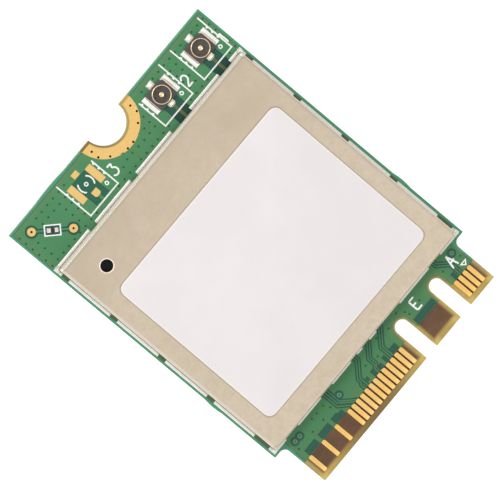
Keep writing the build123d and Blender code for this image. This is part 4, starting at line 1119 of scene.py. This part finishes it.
def sky(st):
    """Even light all round, which is full white to the camera and in metal."""
    world = bpy.data.worlds.new("soft_white")
    bpy.context.scene.world = world
    world.use_nodes = True
    g = Graph(world.node_tree)
    level = g.step(g.white_ray(), 0.0, 1.0, st.sky_strength, 1.0)
    g.end(g.node("ShaderNodeBackground", {0: (1.0, 1.0, 1.0), 1: level}), "ShaderNodeOutputWorld")


def lamp(name, place, power, size):
    """Square soft light in metres, turned towards the card."""
    light = bpy.data.lights.new(name, "AREA")
    light.energy, light.size = power, size
    ob = bpy.data.objects.new(name, light)
    ob.location = place
    ob.rotation_mode = "QUATERNION"
    ob.rotation_quaternion = (-Vector(place)).to_track_quat("-Z", "Y")
    bpy.context.scene.collection.objects.link(ob)


def camera():
    """Long lens almost straight above, leaning towards the notch end and rolled by about 50 degrees."""
    lean, aside, roll = (math.radians(v) for v in (CAMERA_LEAN, CAMERA_ASIDE, CAMERA_ROLL))
    back = Vector((math.sin(aside), math.sin(lean) * math.cos(aside), math.cos(lean) * math.cos(aside)))
    level = Vector((0, 1, 0)).cross(back).normalized()
    upright = back.cross(level)
    right = level * math.cos(roll) - upright * math.sin(roll)
    up = level * math.sin(roll) + upright * math.cos(roll)
    place = Vector(CAMERA_AIM) * MM + back * CAMERA_DISTANCE
    data = bpy.data.cameras.new("camera")
    data.sensor_width = 36.0
    data.lens = CAMERA_LENS
    data.clip_start, data.clip_end = 0.01, 20.0
    ob = bpy.data.objects.new("camera", data)
    ob.matrix_world = Matrix([*zip(right, up, back, place), (0, 0, 0, 1)])
    bpy.context.scene.collection.objects.link(ob)
    bpy.context.scene.camera = ob


OPERATORS = [WIRELESS_OT_board, WIRELESS_OT_contacts, WIRELESS_OT_shield, WIRELESS_OT_label,
             WIRELESS_OT_receptacles, WIRELESS_OT_print, WIRELESS_OT_holes, WIRELESS_OT_inside,
             WIRELESS_OT_stage]


class WIRELESS_PT_card(bpy.types.Panel):
    """Steps that dress the wireless card"""
    bl_idname = "WIRELESS_PT_card"
    bl_label = "Wireless card"
    bl_space_type = "VIEW_3D"
    bl_region_type = "UI"
    bl_category = "Card"

    def draw(self, context):
        for step in OPERATORS:
            self.layout.operator(step.bl_idname)
        for group in (context.scene.card_sizes, context.scene.card_colours, context.scene.stage_settings):
            box = self.layout.box()
            for name in group.__annotations__:
                box.prop(group, name)


CLASSES = [CardSizes, CardColours, StageSettings, *OPERATORS, WIRELESS_PT_card]


def register():
    for c in CLASSES:
        bpy.utils.register_class(c)
    bpy.types.Scene.card_sizes = bpy.props.PointerProperty(type=CardSizes)
    bpy.types.Scene.card_colours = bpy.props.PointerProperty(type=CardColours)
    bpy.types.Scene.stage_settings = bpy.props.PointerProperty(type=StageSettings)


def unregister():
    for name in ("card_sizes", "card_colours", "stage_settings"):
        delattr(bpy.types.Scene, name)
    for c in reversed(CLASSES):
        bpy.utils.unregister_class(c)


def main():
    register()
    for step in OPERATORS:
        group, name = step.bl_idname.split(".")
        getattr(getattr(bpy.ops, group), name)()
    bpy.context.view_layer.update()


if __name__ == "__main__":
    main()
